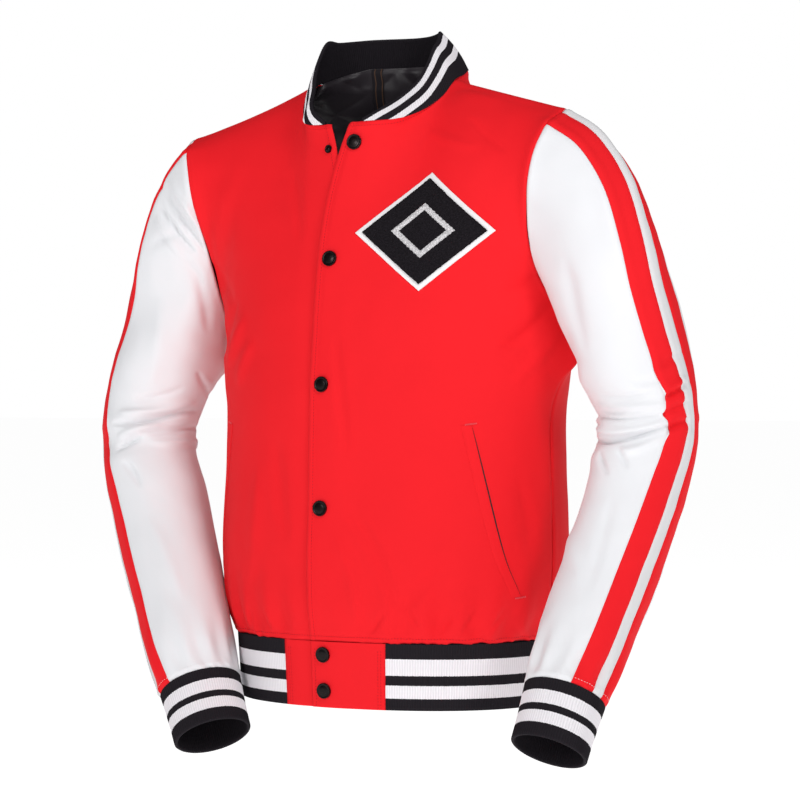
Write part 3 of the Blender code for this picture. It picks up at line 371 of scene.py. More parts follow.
def half_body(front, hand):
    """Grid of one half of the front or back, rows from hem to shoulder, columns from centre to side."""
    rows = []
    for height, half_width, front_depth, back_depth, square in BODY_RINGS:
        depth = -front_depth if front else back_depth
        rows.append(quarter_ring(half_width, depth, square, height))
    low = np.stack(rows)
    # The side flares out to the underarm in the last rows below it.
    side = np.linspace(0.0, 1.0, COLUMNS + 1) ** 6
    flare = ease(-25.0, 40.0, low[:, :1, 2]) ** 2 * side
    low[:, :, 0] += (UNDERARM[0] - FLARE_FROM_X) * flare
    low[:, :, 2] += (UNDERARM[2] - BODY_RINGS[-1, 0]) * flare
    low[-1, -1] = UNDERARM
    arm = armhole(ARMHOLE_FRONT if front else ARMHOLE_BACK)[::-1]
    arm_at = run_of(arm)
    arm_at /= arm_at[-1]
    middle_table = FRONT_LINE if front else BACK_LINE
    heights = np.linspace(middle_table[0, 0], middle_table[-1, 0], 60)
    middle = np.column_stack([np.zeros(60), table_curve(middle_table, heights)[:, 0], heights])
    middle = walk(middle, arm_at * length_of(middle))
    top = top_line(front, hand)
    bottom = low[-1]
    yoke = np.zeros((YOKE_ROWS + 1, COLUMNS + 1, 3))
    for c in range(COLUMNS + 1):
        across = c / COLUMNS
        power = 1.25 + 0.55 * ease(0.15, 0.6, across)
        angle = arm_at * math.pi / 2.0
        inward = 1.0 - np.cos(angle) ** (2.0 / power)
        upward = np.sin(angle) ** (2.0 / power)
        yoke[:, c, :2] = bottom[c, :2] + (top[c, :2] - bottom[c, :2]) * inward[:, None]
        yoke[:, c, 2] = bottom[c, 2] + (top[c, 2] - bottom[c, 2]) * upward
    to_side = np.linspace(0.0, 1.0, COLUMNS + 1)[None, :, None]
    arm_error = (arm - yoke[:, -1])[:, None]
    middle_error = (middle - yoke[:, 0])[:, None]
    yoke = yoke + arm_error * to_side**2.2 + middle_error * (1.0 - to_side) ** 1.6
    grid = np.concatenate([low, yoke[1:]])
    for _ in range(6):
        calm = 0.25 * (grid[2:, 1:-1] + grid[:-2, 1:-1] + grid[1:-1, 2:] + grid[1:-1, :-2])
        ramp = ease(LOW_ROWS - 2.0, LOW_ROWS + 2.0, np.arange(1, len(grid) - 1))[:, None, None]
        grid[1:-1, 1:-1] += 0.5 * ramp * (calm - grid[1:-1, 1:-1])
    return grid


def mirrored(grid):
    """The grid as it lies on the other side of the body."""
    return grid * np.array([-1.0, 1.0, 1.0])


def arm_way(lean_out, lean_fore):
    """The way an arm runs, from its outward and forward lean in radians."""
    way = np.array([math.sin(lean_out), -math.sin(lean_fore) * math.cos(lean_out), 0.0])
    way[2] = -math.sqrt(max(1.0 - way[0] ** 2 - way[1] ** 2, 1e-6))
    return way


def ellipse_ring(station, side):
    """The sleeve's ring of 2 * ARM_STEPS points at one station, from the stripe's middle forwards."""
    out, depth, height, across, deep, lean_out, lean_fore, turn = station
    lean_out, lean_fore, turn = (math.radians(v) for v in (lean_out, lean_fore, turn))
    way = arm_way(lean_out, lean_fore)
    stripe = np.array([math.cos(turn), -math.sin(turn), 0.0])
    if abs(way[0]) > 0.2:
        stripe = stripe + np.array([0.0, 0.0, 1.0]) * math.tan(min(abs(lean_out), 1.45)) * (way[0] > 0)
    stripe = unit(stripe - way * (stripe @ way))
    fore = np.cross(way, stripe)
    fore = fore if fore[1] < 0 else -fore
    centre = np.array([out, depth, height])
    angles = np.linspace(0.0, math.pi, 181)
    halves = []
    for sign in (1.0, -1.0):
        line = (centre + across * np.cos(angles)[:, None] * stripe
                + sign * deep * np.sin(angles)[:, None] * fore)
        rest = np.linspace(STRIPE_STEPS[-1], length_of(line), ARM_STEPS + 1 - len(STRIPE_STEPS))
        halves.append(walk(line, np.concatenate([[0.0], STRIPE_STEPS[:2], rest])))
    ring = np.vstack([halves[0], halves[1][1:-1][::-1]])
    return ring * np.array([side, 1.0, 1.0])


def sleeve(table, hole, side):
    """Rows of rings from the armhole to the cuff. Column 0 is the middle of the pale stripe."""
    stations = table_curve(table, np.arange(SLEEVE_ROWS + 1))
    rings = np.stack([ellipse_ring(s, side) for s in stations])
    rows = np.arange(SLEEVE_ROWS + 1)
    fade = 1.0 - ease(0.0, CAP_ROWS, rows)
    rings = rings + (hole - rings[0])[None] * fade[:, None, None]
    # Under the arm the cloth runs straight from the seam to the end of the cap.
    share = np.clip(rows / CAP_ROWS, 0.0, 1.0)[:, None, None]
    straight = hole[None] * (1.0 - share) + rings[CAP_ROWS][None] * share
    around = np.arange(AROUND)
    under = ease(4.0, 8.5, np.minimum(around, AROUND - around))[None, :, None]
    return rings + (straight - rings) * (under * (rows < CAP_ROWS)[:, None, None])


def tilt(points):
    """The wearer's left shoulder sits a little higher."""
    points = points.copy()
    points[..., 2] += SHOULDER_TILT * points[..., 0] * ease(0.0, 280.0, points[..., 2])
    return points


def open_top(grid, columns, shift):
    """Swings a front's free edge aside above the highest closed snap."""
    grid = grid.copy()
    height = grid[..., 2]
    lift = np.clip((height - TOP_CLOSED_SNAP) / (NECK_FRONT_HEIGHT - TOP_CLOSED_SNAP), 0.0, 1.2)
    near = 1.0 - ease(0.0, 3.6, np.asarray(columns, float))[None, :]
    grid[..., 0] += shift * lift**2.2 * near
    return grid


def gather(grid, rows, depth, closed, seed, plain=()):
    """Uneven shallow pleats: every other column goes in, fading away from the seam."""
    grid = grid.copy()
    uneven = np.random.RandomState(seed).uniform(0.35, 1.0, grid.shape[1])
    wave = np.where(np.arange(grid.shape[1]) % 2 == 0, 1.0, -1.0) * uneven
    if not closed:
        wave[[0, -1]] = 0.0
    wave[list(plain)] = 0.0
    normals = grid_normals(grid, closed)
    for row, share in rows:
        grid[row] += normals[row] * (wave * depth * share)[:, None]
    return grid


def grid_normals(grid, closed=False):
    """Normals across a grid, facing along columns x rows."""
    if closed:
        wide = np.concatenate([grid[:, -1:], grid, grid[:, :1]], axis=1)
        across = wide[:, 2:] - wide[:, :-2]
    else:
        across = np.gradient(grid, axis=1)
    up = np.gradient(grid, axis=0)
    return unit(np.cross(across, up))


LEAST_LEAN = 0.55


class Form:
    """The whole garment as one skin: grids that share points along their seams, with common normals."""

    def __init__(self):
        self.grids = {}
        self.closed = {}

    def add(self, name, grid, closed=False):
        """Takes a grid in. A closed one goes on from its last column to its first."""
        self.grids[name] = grid
        self.closed[name] = closed

    def finish(self):
        """Works out the normals: plain ones of length 1, and longer ones that keep a wall's thickness."""
        sums = {}
        faces = []
        for name, grid in self.grids.items():
            around = np.concatenate([grid, grid[:, :1]], axis=1) if self.closed[name] else grid
            for r in range(around.shape[0] - 1):
                for c in range(around.shape[1] - 1):
                    corners = (around[r, c], around[r, c + 1], around[r + 1, c + 1], around[r + 1, c])
                    area = np.cross(corners[2] - corners[0], corners[3] - corners[1])
                    faces.append((unit(area), [tuple(np.round(p, 2)) for p in corners]))
                    for key in faces[-1][1]:
                        sums.setdefault(key, []).append(area)
        middle = {key: unit(np.sum([unit(a) for a in areas], axis=0)) for key, areas in sums.items()}
        self.normals = {}
        self.plain_normals = {name: np.zeros_like(grid) for name, grid in self.grids.items()}
        for name, grid in self.grids.items():
            flat = np.zeros_like(grid)
            for r in range(grid.shape[0]):
                for c in range(grid.shape[1]):
                    key = tuple(np.round(grid[r, c], 2))
                    lean = np.mean([max(float(unit(a) @ middle[key]), 0.0) for a in sums[key]])
                    flat[r, c] = middle[key] / max(lean, LEAST_LEAN)
                    self.plain_normals[name][r, c] = middle[key]
            self.normals[name] = flat


print("functions ready, sleeves have", SLEEVE_ROWS, "rows of", AROUND, "points")


# %% [markdown]
# ## Fronts and back
# Each half of the body is read from the tables, then the fronts get their lap past the centre and their
# open top.

# %%
front_half = {name: half_body(True, side) for name, side in SIDES.items()}
back_half = {name: half_body(False, side) for name, side in SIDES.items()}
for name, half in back_half.items():
    half[: LOW_ROWS + 1, -1] = front_half[name][: LOW_ROWS + 1, -1]
    half[-1, NECK_COLUMNS:] = front_half[name][-1, NECK_COLUMNS:]


def front_with_lap(half, lap, side):
    """A front from its free edge to the side, with the lap past the centre front added."""
    extra = []
    for k in range(LAP_STEPS, 0, -1):
        reach = lap * k / LAP_STEPS
        column = half[:, 0].copy()
        column[:, 0] -= reach
        column[:, 1] += reach**2 / LAP_BEND
        extra.append(column)
    grid = np.concatenate([np.stack(extra, axis=1), half], axis=1)
    columns = np.maximum(np.arange(grid.shape[1]) - LAP_STEPS, 0)
    grid = open_top(grid, columns, OPEN_TOP_LEFT if side > 0 else -OPEN_TOP_RIGHT)
    grid[..., 1] -= (LAP_LIFT * side * (1.0 - ease(0.4, 2.2, columns)))[None, :]
    return grid if side > 0 else mirrored(grid)

fronts = {
    "left": front_with_lap(front_half["left"], LEFT_LAP, 1.0),
    "right": front_with_lap(front_half["right"], RIGHT_LAP, -1.0),
}
back = np.concatenate([back_half["left"][:, ::-1], mirrored(back_half["right"])[:, 1:]], axis=1)
print("fronts", fronts["left"].shape[:2], "back", back.shape[:2])

# %% [markdown]
# ## Sleeves, cuffs, hem and collar
# A sleeve starts at the body's armhole, which runs from the shoulder forwards, down to the underarm and up
# the back. The cuffs and the hem go on from the cloth's last rows, and the collar stands on the neckline.

# %%
sleeves = {}
for name, side in SIDES.items():
    hole = np.vstack([front_half[name][LOW_ROWS:, -1][::-1], back_half[name][LOW_ROWS:, -1][1:-1]])
    sleeves[name] = sleeve(ARMS[name], hole * np.array([side, 1.0, 1.0]), side)


def rib_ring(edge, way, length, rows, draw_in):
    """Rows of a rib going on from an edge ring along a direction, drawn in a little at its end."""
    centre = edge.mean(axis=0)
    out = []
    for k in range(rows + 1):
        t = k / rows
        row = edge + way * length * t
        row += unit(centre - edge) * draw_in * (math.sin(math.pi * 0.5 * t))
        out.append(row)
    return np.stack(out)


form = Form()
hem_gather_rows = ((1, 1.0), (2, 0.7), (3, 0.3))
body_grids = {"front_left": fronts["left"], "front_right": fronts["right"][:, ::-1], "back": back}
for index, (name, grid) in enumerate(body_grids.items()):
    plain = {"front_left": range(0, LAP_STEPS + 3), "front_right": range(-LAP_STEPS - 3, 0), "back": ()}[name]
    grid = gather(grid, hem_gather_rows, HEM_GATHER, False, 11 + index, plain)
    body_grids[name] = tilt(grid)
    form.add(name, body_grids[name])
for name, rings in sleeves.items():
    if name == "left":
        # Turned round, then rolled so that the pale stripe's middle stays column 0.
        rings = np.roll(rings[:, ::-1], 1, axis=1)
    sleeves[name] = tilt(gather(rings[::-1], ((1, 1.0), (2, 0.6)), CUFF_GATHER, True, 21))
    form.add("sleeve_" + name, sleeves[name], closed=True)

# Rib cuffs go on from the sleeves' last ring
cuffs = {}
for name, side in SIDES.items():
    way = arm_way(*(math.radians(v) for v in ARMS[name][-1, 6:8])) * np.array([side, 1.0, 1.0])
    cuffs[name] = rib_ring(sleeves[name][0], way, CUFF_LENGTH, CUFF_ROWS, CUFF_DRAW_IN)[::-1]
    form.add("cuff_" + name, cuffs[name], closed=True)

# Hem ring: the bottom row of the left front, back and right front, carried down
hem = {}
down = np.array([0.0, 0.0, -1.0])
for name, grid in body_grids.items():
    edge = grid[0]
    rows = []
    for k in range(HEM_ROWS + 1):
        t = k / HEM_ROWS
        row = edge + down * HEM_HEIGHT * t
        row[:, :2] *= 1.0 - HEM_DRAW_IN / 150.0 * t
        rows.append(row)
    hem[name] = np.stack(rows)[::-1]
    form.add("hem_" + name, hem[name])

# Collar: a band that stands on the neckline, low at its front ends
neck_l = body_grids["front_left"][-1, LAP_STEPS:LAP_STEPS + NECK_COLUMNS]
neck_b = body_grids["back"][-1, SHOULDER_COLUMNS:SHOULDER_COLUMNS + 2 * NECK_COLUMNS + 1]
neck_r = body_grids["front_right"][-1, SHOULDER_COLUMNS + 1:COLUMNS + 1]
neckline = np.vstack([neck_l, neck_b, neck_r])
ends = np.array(COLLAR_RISE)
behind = 1.0 + COLLAR_EXTRA * ease(0.0, 70.0, neck_b[:, 0])
behind -= COLLAR_SIDE_DIP * (1.0 - ease(NECK_Y, 30.0, neck_b[:, 1])) * (neck_b[:, 0] > 0.0)
rise = COLLAR_HEIGHT * np.concatenate([ends, behind, ends[::-1]])
neck_middle = np.array([0.0, NECK_Y, 0.0])
inward = (neck_middle - neckline) * np.array([1.0, 1.0, 0.0])
inward = unit(inward)
lean = np.radians(np.interp(neckline[:, 0], (-NECK_X, 0.0, NECK_X), COLLAR_LEAN))
collar_rows = []
for k in range(COLLAR_ROWS + 1):
    t = k / COLLAR_ROWS
    angle = lean * (0.75 + 0.4 * t)
    reach = (rise * t)[:, None]
    collar_rows.append(neckline + inward * np.sin(angle)[:, None] * reach
                       + np.array([0.0, 0.0, 1.0]) * np.cos(angle)[:, None] * reach)
collar = np.stack(collar_rows)
form.add("collar", collar)
form.finish()
print("grids:", {name: grid.shape[:2] for name, grid in form.grids.items()})

# %% [markdown]
# ## The largest folds
# The tables of folds lift and lower whole regions of the grids, fading out at every seam so that the grids
# still meet. These folds are in the solids too.

# %%
def border_steps(count):
    """Steps from each row or column of a grid to its nearer end."""
    return np.minimum(np.arange(count), count - 1 - np.arange(count))


def fold_height(shape, row, column, reach_rows, reach_columns, slope, height, wrap):
    """How far one soft fold lifts each point of a grid."""
    r = np.arange(shape[0])[:, None] - row
    c = np.arange(shape[1])[None, :] - column
    if wrap:
        c = (c + shape[1] / 2.0) % shape[1] - shape[1] / 2.0
    along = np.clip(np.abs(c) / reach_columns, 0.0, 1.0)
    return height * np.exp(-(((r - slope * c) / reach_rows) ** 2)) * np.cos(along * math.pi / 2.0) ** 2


lifts = {name: np.zeros(grid.shape[:2]) for name, grid in form.grids.items()}
for arm, row, forward, reach_rows, reach_columns, slope, height in SLEEVE_FOLDS:
    name = "sleeve_" + arm
    way = -SIDES[arm]
    shape = form.grids[name].shape
    lift = fold_height(shape, SLEEVE_ROWS - row, way * forward % shape[1], reach_rows, reach_columns,
                       -way * slope, height, True)
    lifts[name] += lift * ease(0.0, 2.0, border_steps(shape[0]))[:, None]
for name, row, column, reach_rows, reach_columns, slope, height in BODY_FOLDS:
    shape = form.grids[name].shape
    lift = fold_height(shape, row, column, reach_rows, reach_columns, slope, height, False)
    lift *= ease(0.0, 2.0, border_steps(shape[1]))[None, :]
    lifts[name] += lift * ease(0.0, 2.0, border_steps(shape[0]))[:, None]
for name, lift in lifts.items():
    form.grids[name] += form.plain_normals[name] * lift[..., None]
form.finish()
print("folds:", len(SLEEVE_FOLDS), "on the sleeves,", len(BODY_FOLDS), "on the body")


def section(grid, normals, height):
    """Where the grid's columns cross this height: points and normals, from its first column to its last."""
    points = []
    ways = []
    for c in range(grid.shape[1]):
        level = grid[:, c, 2]
        r = int(np.clip(np.searchsorted(level, height) - 1, 0, len(level) - 2))
        t = (height - level[r]) / (level[r + 1] - level[r])
        points.append(grid[r, c] + (grid[r + 1, c] - grid[r, c]) * t)
        ways.append(normals[r, c] + (normals[r + 1, c] - normals[r, c]) * t)
    return np.array(points), np.array(ways)
# %% [markdown]
# ## The lining's grid
# The lining starts with a lap on the collar's inside and comes down the inside of the back.

# %%
lining_cols = range(LINING_FIRST, LINING_LAST + 1)
lining_paths = []
lining_ways = []
back_grid, back_ways = body_grids["back"], form.normals["back"]
last_neck = SHOULDER_COLUMNS + 2 * NECK_COLUMNS
for c in lining_cols:
    at = NECK_COLUMNS + c - SHOULDER_COLUMNS
    body_rows = (-1, -2, -3, -4, -5, -7)
    path = [back_grid[r, c] - back_ways[r, c] * (SHELL_WALL + LINING_GAP) for r in body_rows]
    ways = [back_ways[r, c] for r in body_rows]
    if c <= last_neck:
        ways_here = form.normals["collar"]
        lap = collar[0, at] + (collar[1, at] - collar[0, at]) * LINING_LAP.get(c, 1.0)
        path[0] = collar[0, at] - ways_here[0, at] * (RIB_WALL + LINING_GAP)
        path.insert(0, lap - ways_here[1, at] * (RIB_WALL + LINING_GAP))
        ways.insert(0, ways_here[1, at])
    else:
        path[0] = path[0] + unit(path[1] - path[0]) * LINING_BELOW_SEAM
        path.insert(0, path[0])
        path[1] = 0.5 * (path[0] + path[2])
        ways.insert(0, ways[0])
    if c >= last_neck:
        path = [p - way * LINING_SEAM_CLEAR for p, way in zip(path, ways)]
    lining_paths.append(np.array(path))
    lining_ways.append(np.array(ways))


def halve(rows):
    """The rows with a middle one put between each two."""
    rows = np.asarray(rows)
    out = np.repeat(rows, 2, axis=0)[:-1].copy()
    out[1::2] = 0.5 * (rows[:-1] + rows[1:])
    return out


lining_back = halve(lining_paths).transpose(1, 0, 2)
lining_way = unit(halve(lining_ways).transpose(1, 0, 2))
lining_back = np.concatenate([lining_back[:3], halve(lining_back[2:])[1:]])
lining_way = unit(np.concatenate([lining_way[:3], halve(lining_way[2:])[1:]]))
print("lining grid", lining_back.shape[:2])

# %% [markdown]
# ## Reading a grid anywhere
# curve_at reads a grid between its rows on a smooth curve through them. dense_grid does it both ways, so a
# coarse grid gives fine cloth that still passes through the solid's own points.


# %%
def curve_at(points, at, closed=False):
    """Points on smooth curves through the rows, at these row positions."""
    points = np.asarray(points, float)
    count = len(points)
    at = np.asarray(at, float)
    if closed:
        first = np.floor(at).astype(int)
        p0, p1, p2, p3 = (points[(first + k) % count] for k in (-1, 0, 1, 2))
    else:
        first = np.clip(np.floor(at).astype(int), 0, count - 2)
        padded = np.concatenate([2.0 * points[:1] - points[1:2], points, 2.0 * points[-1:] - points[-2:-1]])
        p0, p1, p2, p3 = (padded[first + k] for k in (0, 1, 2, 3))
    t = (at - first).reshape((-1,) + (1,) * (points.ndim - 1))
    return 0.5 * (2.0 * p1 + (p2 - p0) * t + (2.0 * p0 - 5.0 * p1 + 4.0 * p2 - p3) * t**2
                  + (3.0 * p1 - p0 - 3.0 * p2 + p3) * t**3)


def dense_grid(grid, rows, columns, closed=False):
    """The grid read at these rows and columns."""
    return curve_at(curve_at(grid, rows).swapaxes(0, 1), columns, closed).swapaxes(0, 1)


def spread(first, last, per_step):
    """Even positions, closer at both ends so that the seams there can curl in."""
    steps = int(round((last - first) * per_step))
    even = np.linspace(first, last, steps + 1)
    near = np.array([0.05, 0.1, 0.17])
    return np.unique(np.round(np.concatenate([even, first + near, last - near]), 5))


def steps_along(points, axis):
    """Distance run along one axis of a grid, from its first border."""
    lengths = np.linalg.norm(np.diff(points, axis=axis), axis=-1)
    zero = np.zeros_like(np.take(lengths, [0], axis=axis))
    return np.concatenate([zero, np.cumsum(lengths, axis=axis)], axis=axis)


def out_of(points, wrap=False):
    """Unit directions square to a fine grid, to its outside."""
    if wrap:
        return out_of(np.concatenate([points[:, -2:], points, points[:, :2]], axis=1))[:, 2:-2]
    return unit(np.cross(np.gradient(points, axis=1), np.gradient(points, axis=0)))


print("one sleeve strip reads", dense_grid(sleeves["left"], spread(0, 22, 7), spread(3, 12, 5), True).shape)

# %% [markdown]
# ## Creases listed one by one
# The main creases are listed in a view: three points of a line in it, as wide and high as
# they look. A ridge has a height above 0 and a trough below it. The view is a distant camera level with the
# chest, turned round the body by some degrees, so a crease on the hidden side is placed in the same way
# from there.

# %%
CAMERA_TURN = 33.0
CAMERA_FAR = 3000.0
CAMERA_F = 2910.0
AWAY_FROM_VIEW = -0.35
PICTURE_MIDDLE = 400.0
AXIS_X = 394.0
# For each part and turn of the view: x and y at a crease's start, middle and end, half width and height in mm
CREASES = {
    ("sleeve_left", 33): (
        (595, 438, 616, 441, 669, 426, 2.2, -5.8), (597, 428, 622, 430, 668, 421, 3.6, 5.4),
        (596, 415, 626, 419, 668, 414, 2.6, -5.1), (598, 404, 630, 407, 664, 404, 3.6, 3.6),
        (601, 395, 628, 397, 650, 390, 2.7, -3.1), (618, 448, 634, 450, 660, 436, 4.0, 3.9),
        (600, 452, 602, 462, 608, 474, 2.9, -2.8), (619, 447, 622, 456, 628, 468, 2.7, -2.8),
        (630, 380, 646, 382, 662, 377, 2.9, -2.4), (664, 399, 675, 393, 688, 385, 2.7, -3.6),
        (665, 390, 676, 384, 686, 377, 3.2, 3.1), (666, 431, 678, 425, 690, 421, 2.6, -3.9),
        (668, 412, 678, 407, 690, 402, 2.9, -2.8), (660, 366, 670, 360, 682, 352, 3.2, -2.4),
        (566, 262, 574, 305, 585, 350, 7.0, -2.8), (600, 180, 612, 235, 628, 290, 9.0, 2.4),
        (560, 520, 572, 548, 580, 580, 7.0, 2.3), (612, 500, 600, 545, 588, 590, 7.0, -2.4),
        (600, 434, 630, 437, 664, 428, 1.5, -2.4), (598, 410, 622, 413, 652, 408, 1.4, -2.0),
        (601, 420, 634, 425, 662, 417, 1.3, -1.8), (664, 396, 676, 391, 690, 382, 1.5, -2.2),
        (666, 428, 678, 423, 691, 418, 1.5, -2.2),
    ),
    ("sleeve_right", 33): (
        (112, 423, 140, 421, 198, 411, 2.4, -5.8), (120, 412, 150, 411, 194, 403, 3.6, 4.8),
        (140, 432, 168, 432, 200, 427, 2.4, -4.5), (116, 450, 128, 443, 142, 438, 2.6, -4.5),
        (118, 437, 134, 430, 160, 426, 3.2, 4.2), (150, 441, 174, 443, 196, 440, 4.0, 3.5),
        (134, 398, 156, 397, 184, 388, 2.9, -3.1), (122, 462, 132, 470, 140, 486, 3.2, -2.8),
        (162, 186, 182, 221, 211, 256, 2.9, -5.4), (170, 180, 190, 210, 214, 240, 3.6, 4.8),
        (158, 204, 172, 226, 194, 252, 2.9, -4.2), (156, 218, 166, 234, 184, 258, 3.6, 3.9),
        (150, 244, 162, 240, 180, 234, 2.7, -3.6), (188, 262, 202, 290, 208, 330, 6.0, -3.5),
        (198, 372, 204, 384, 210, 396, 3.2, -3.1), (160, 300, 158, 345, 150, 385, 9.0, 2.3),
        (150, 520, 168, 560, 182, 600, 8.0, 2.1), (116, 420, 150, 419, 196, 409, 1.5, -2.4),
        (130, 430, 160, 429, 198, 425, 1.4, -2.0), (118, 448, 132, 440, 146, 435, 1.4, -2.0),
        (166, 184, 188, 219, 212, 250, 1.5, -2.2), (160, 208, 174, 228, 196, 254, 1.4, -1.8),
    ),
    ("front_left", 33): (
        (336, 335, 340, 392, 348, 452, 5.5, -2.2), (346, 510, 372, 548, 396, 606, 6.5, -2.9),
        (336, 540, 350, 580, 356, 625, 6.0, 2.0), (402, 610, 420, 588, 450, 560, 7.0, -1.7),
        (556, 300, 530, 330, 500, 350, 6.5, -3.7), (562, 322, 540, 356, 512, 384, 7.0, 2.9),
        (556, 262, 530, 282, 505, 292, 5.5, -2.5), (470, 118, 486, 136, 505, 150, 5.0, -2.0),
        (430, 130, 452, 142, 476, 146, 5.5, 1.7), (520, 480, 528, 530, 534, 590, 8.0, -3.4),
        (384, 612, 378, 622, 370, 634, 2.0, -2.2), (402, 604, 412, 620, 424, 634, 2.0, -2.0),
        (452, 616, 446, 624, 438, 635, 2.0, -1.8), (478, 610, 470, 622, 462, 636, 2.2, -1.8),
        (508, 604, 500, 618, 488, 634, 2.2, -1.8),
    ),
    ("front_right", 33): (
        (243, 318, 236, 342, 229, 366, 4.5, 4.1), (252, 342, 244, 360, 238, 384, 5.0, 3.1),
        (236, 300, 228, 330, 222, 356, 4.0, -3.7), (276, 440, 280, 490, 286, 540, 7.0, -2.0),
        (258, 470, 256, 520, 250, 580, 7.0, 2.4), (212, 262, 224, 284, 232, 306, 4.0, -3.1),
        (290, 170, 296, 200, 298, 240, 6.0, -1.7), (262, 612, 266, 622, 272, 634, 2.0, -1.8),
        (248, 606, 250, 618, 252, 632, 2.0, -1.8),
    ),
    ("back", 180): (
        (560, 300, 530, 336, 492, 352, 6.5, -4.1), (570, 330, 538, 372, 505, 396, 7.5, 3.1),
        (222, 316, 246, 346, 280, 374, 6.5, -4.1), (232, 352, 262, 384, 302, 398, 7.5, 3.1),
        (330, 596, 372, 566, 420, 560, 8.0, -2.7), (470, 610, 438, 580, 404, 576, 8.0, 2.5),
        (300, 430, 312, 492, 305, 560, 10.0, 2.2), (470, 446, 462, 500, 476, 548, 10.0, -2.2),
        (352, 92, 392, 108, 436, 92, 6.0, -2.0),
    ),
    ("sleeve_left", 180): (
        (100, 412, 126, 420, 152, 412, 3.2, -3.9), (98, 432, 122, 442, 150, 436, 3.6, 3.5),
        (96, 452, 118, 458, 142, 450, 3.2, -3.5), (128, 240, 140, 270, 146, 310, 7.0, -2.8),
    ),
    ("sleeve_left", 270): (
        (366, 410, 392, 420, 424, 414, 3.2, 3.5),
    ),
    ("sleeve_right", 180): (
        (632, 420, 652, 430, 676, 424, 3.2, -3.6), (628, 440, 650, 452, 672, 446, 3.6, 3.5),
        (640, 250, 632, 290, 622, 330, 7.0, -2.8),
    ),
    ("sleeve_right", 270): (
        (380, 430, 402, 440, 430, 432, 3.2, -3.5),
    ),
}


def seen_from(points, turn):
    """Where points lie in the view turned round by these degrees: x, y, and the way to the camera."""
    a = math.radians(turn)
    side = points[..., 0] * math.cos(a) + points[..., 1] * math.sin(a)
    near = points[..., 0] * math.sin(a) - points[..., 1] * math.cos(a)
    scale = CAMERA_F / (CAMERA_FAR - near)
    way = np.array([math.sin(a), -math.cos(a), 0.0])
    return AXIS_X + side * scale, PICTURE_MIDDLE - points[..., 2] * scale, way


def crease_lift(part, points, normals):
    """Height of all creases of one part at each point of a grid, in mm."""
    lift = np.zeros(points.shape[:2])
    views = [(turn, rows) for (name, turn), rows in CREASES.items() if name == part]
    for turn, x0, y0, x1, y1, x2, y2, wide, high in [(turn, *row) for turn, rows in views for row in rows]:
        x, y, way = seen_from(points, turn)
        t = np.linspace(0.0, 1.0, 13)[:, None]
        bend = np.array([2 * x1 - (x0 + x2) / 2, 2 * y1 - (y0 + y2) / 2])
        line = (1 - t) ** 2 * np.array([x0, y0]) + 2 * t * (1 - t) * bend + t**2 * np.array([x2, y2])
        reach = 3.0 * wide + 3.0
        box = ((x > line[:, 0].min() - reach) & (x < line[:, 0].max() + reach)
               & (y > line[:, 1].min() - reach) & (y < line[:, 1].max() + reach))
        facing = normals @ way
        box &= facing > AWAY_FROM_VIEW
        if not box.any():
            continue
        p = np.stack([x[box], y[box]], axis=1)
        best = np.full(len(p), 1e9)
        along = np.zeros(len(p))
        for k in range(len(line) - 1):
            d = line[k + 1] - line[k]
            s = np.clip(((p - line[k]) @ d) / max(d @ d, 1e-9), 0.0, 1.0)
            away = np.linalg.norm(p - line[k] - s[:, None] * d, axis=1)
            closer = away < best
            best[closer] = away[closer]
            along[closer] = (k + s[closer]) / (len(line) - 1)
        thin = np.sin(math.pi * np.clip(along, 0.0, 1.0)) ** 0.6
        shape = np.exp(-((best / (wide * (0.55 + 0.45 * thin))) ** 2)) * (0.12 + 0.88 * thin)
        lift[box] += high * shape * ease(AWAY_FROM_VIEW, 0.05, facing[box])
    return lift


print(sum(len(rows) for rows in CREASES.values()), "creases")

# %% [markdown]
# ## Gathers and rumples
# Rib trim is shorter than the cloth it holds, so the cloth gathers where they are sewn together: many short
# ridges that differ in height, length, lean and spacing. Slow rumples keep the large panels from looking
# pressed.


# %%
def gathers(along, off, length, spacing, high, reach, seed):
    """Ridges that start at a seam. along runs on the seam and off away from it, both in mm."""
    dice = np.random.RandomState(seed)
    lift = np.zeros_like(along)
    at = -spacing
    while at < length + spacing:
        at += spacing * dice.uniform(0.55, 1.6)
        wide = spacing * dice.uniform(0.22, 0.42)
        lean = dice.uniform(-0.35, 0.35)
        tall = high * dice.uniform(0.25, 1.0) * dice.choice([1.0, 1.0, -0.7])
        far = reach * dice.uniform(0.35, 1.25)
        near = np.exp(-(((along - at - lean * off) / (wide * (1.0 + off / reach))) ** 2))
        lift += tall * near * np.exp(-((off / far) ** 1.6))
    return lift


def rumples(points, size, seed):
    """Slow uneven waves over a part, about from -1 to 1."""
    dice = np.random.RandomState(seed)
    lift = np.zeros(points.shape[:2])
    for _ in range(9):
        way = unit(dice.normal(size=3)) / (size * dice.uniform(0.6, 1.7))
        lift += np.sin(points @ way * 2.0 * math.pi + dice.uniform(0.0, 6.28))
    return lift / 4.5


def seam_curl(off, deep, bulge=0.35):
    """A seam line drawn in, with the cloth rising softly beside it. off is the distance to it in mm."""
    return -deep * np.exp(-((off / 1.7) ** 2)) + bulge * np.exp(-(((off - 5.5) / 3.2) ** 2))


# %% [markdown]
# ## Making the pieces
# Every piece of cloth becomes a mesh with its own measure as UV, in metres along and up the cloth, so the
# finishes can use threads and bands of true size. Solidify gives the thin wall, with the lining's finish on
# its inside.


def to_metres(points):
    """Points of the tables, in mm, as metres in the frame."""
    return (points - np.array([0.0, 0.0, LEVEL_BELOW_ORIGIN])) * MM


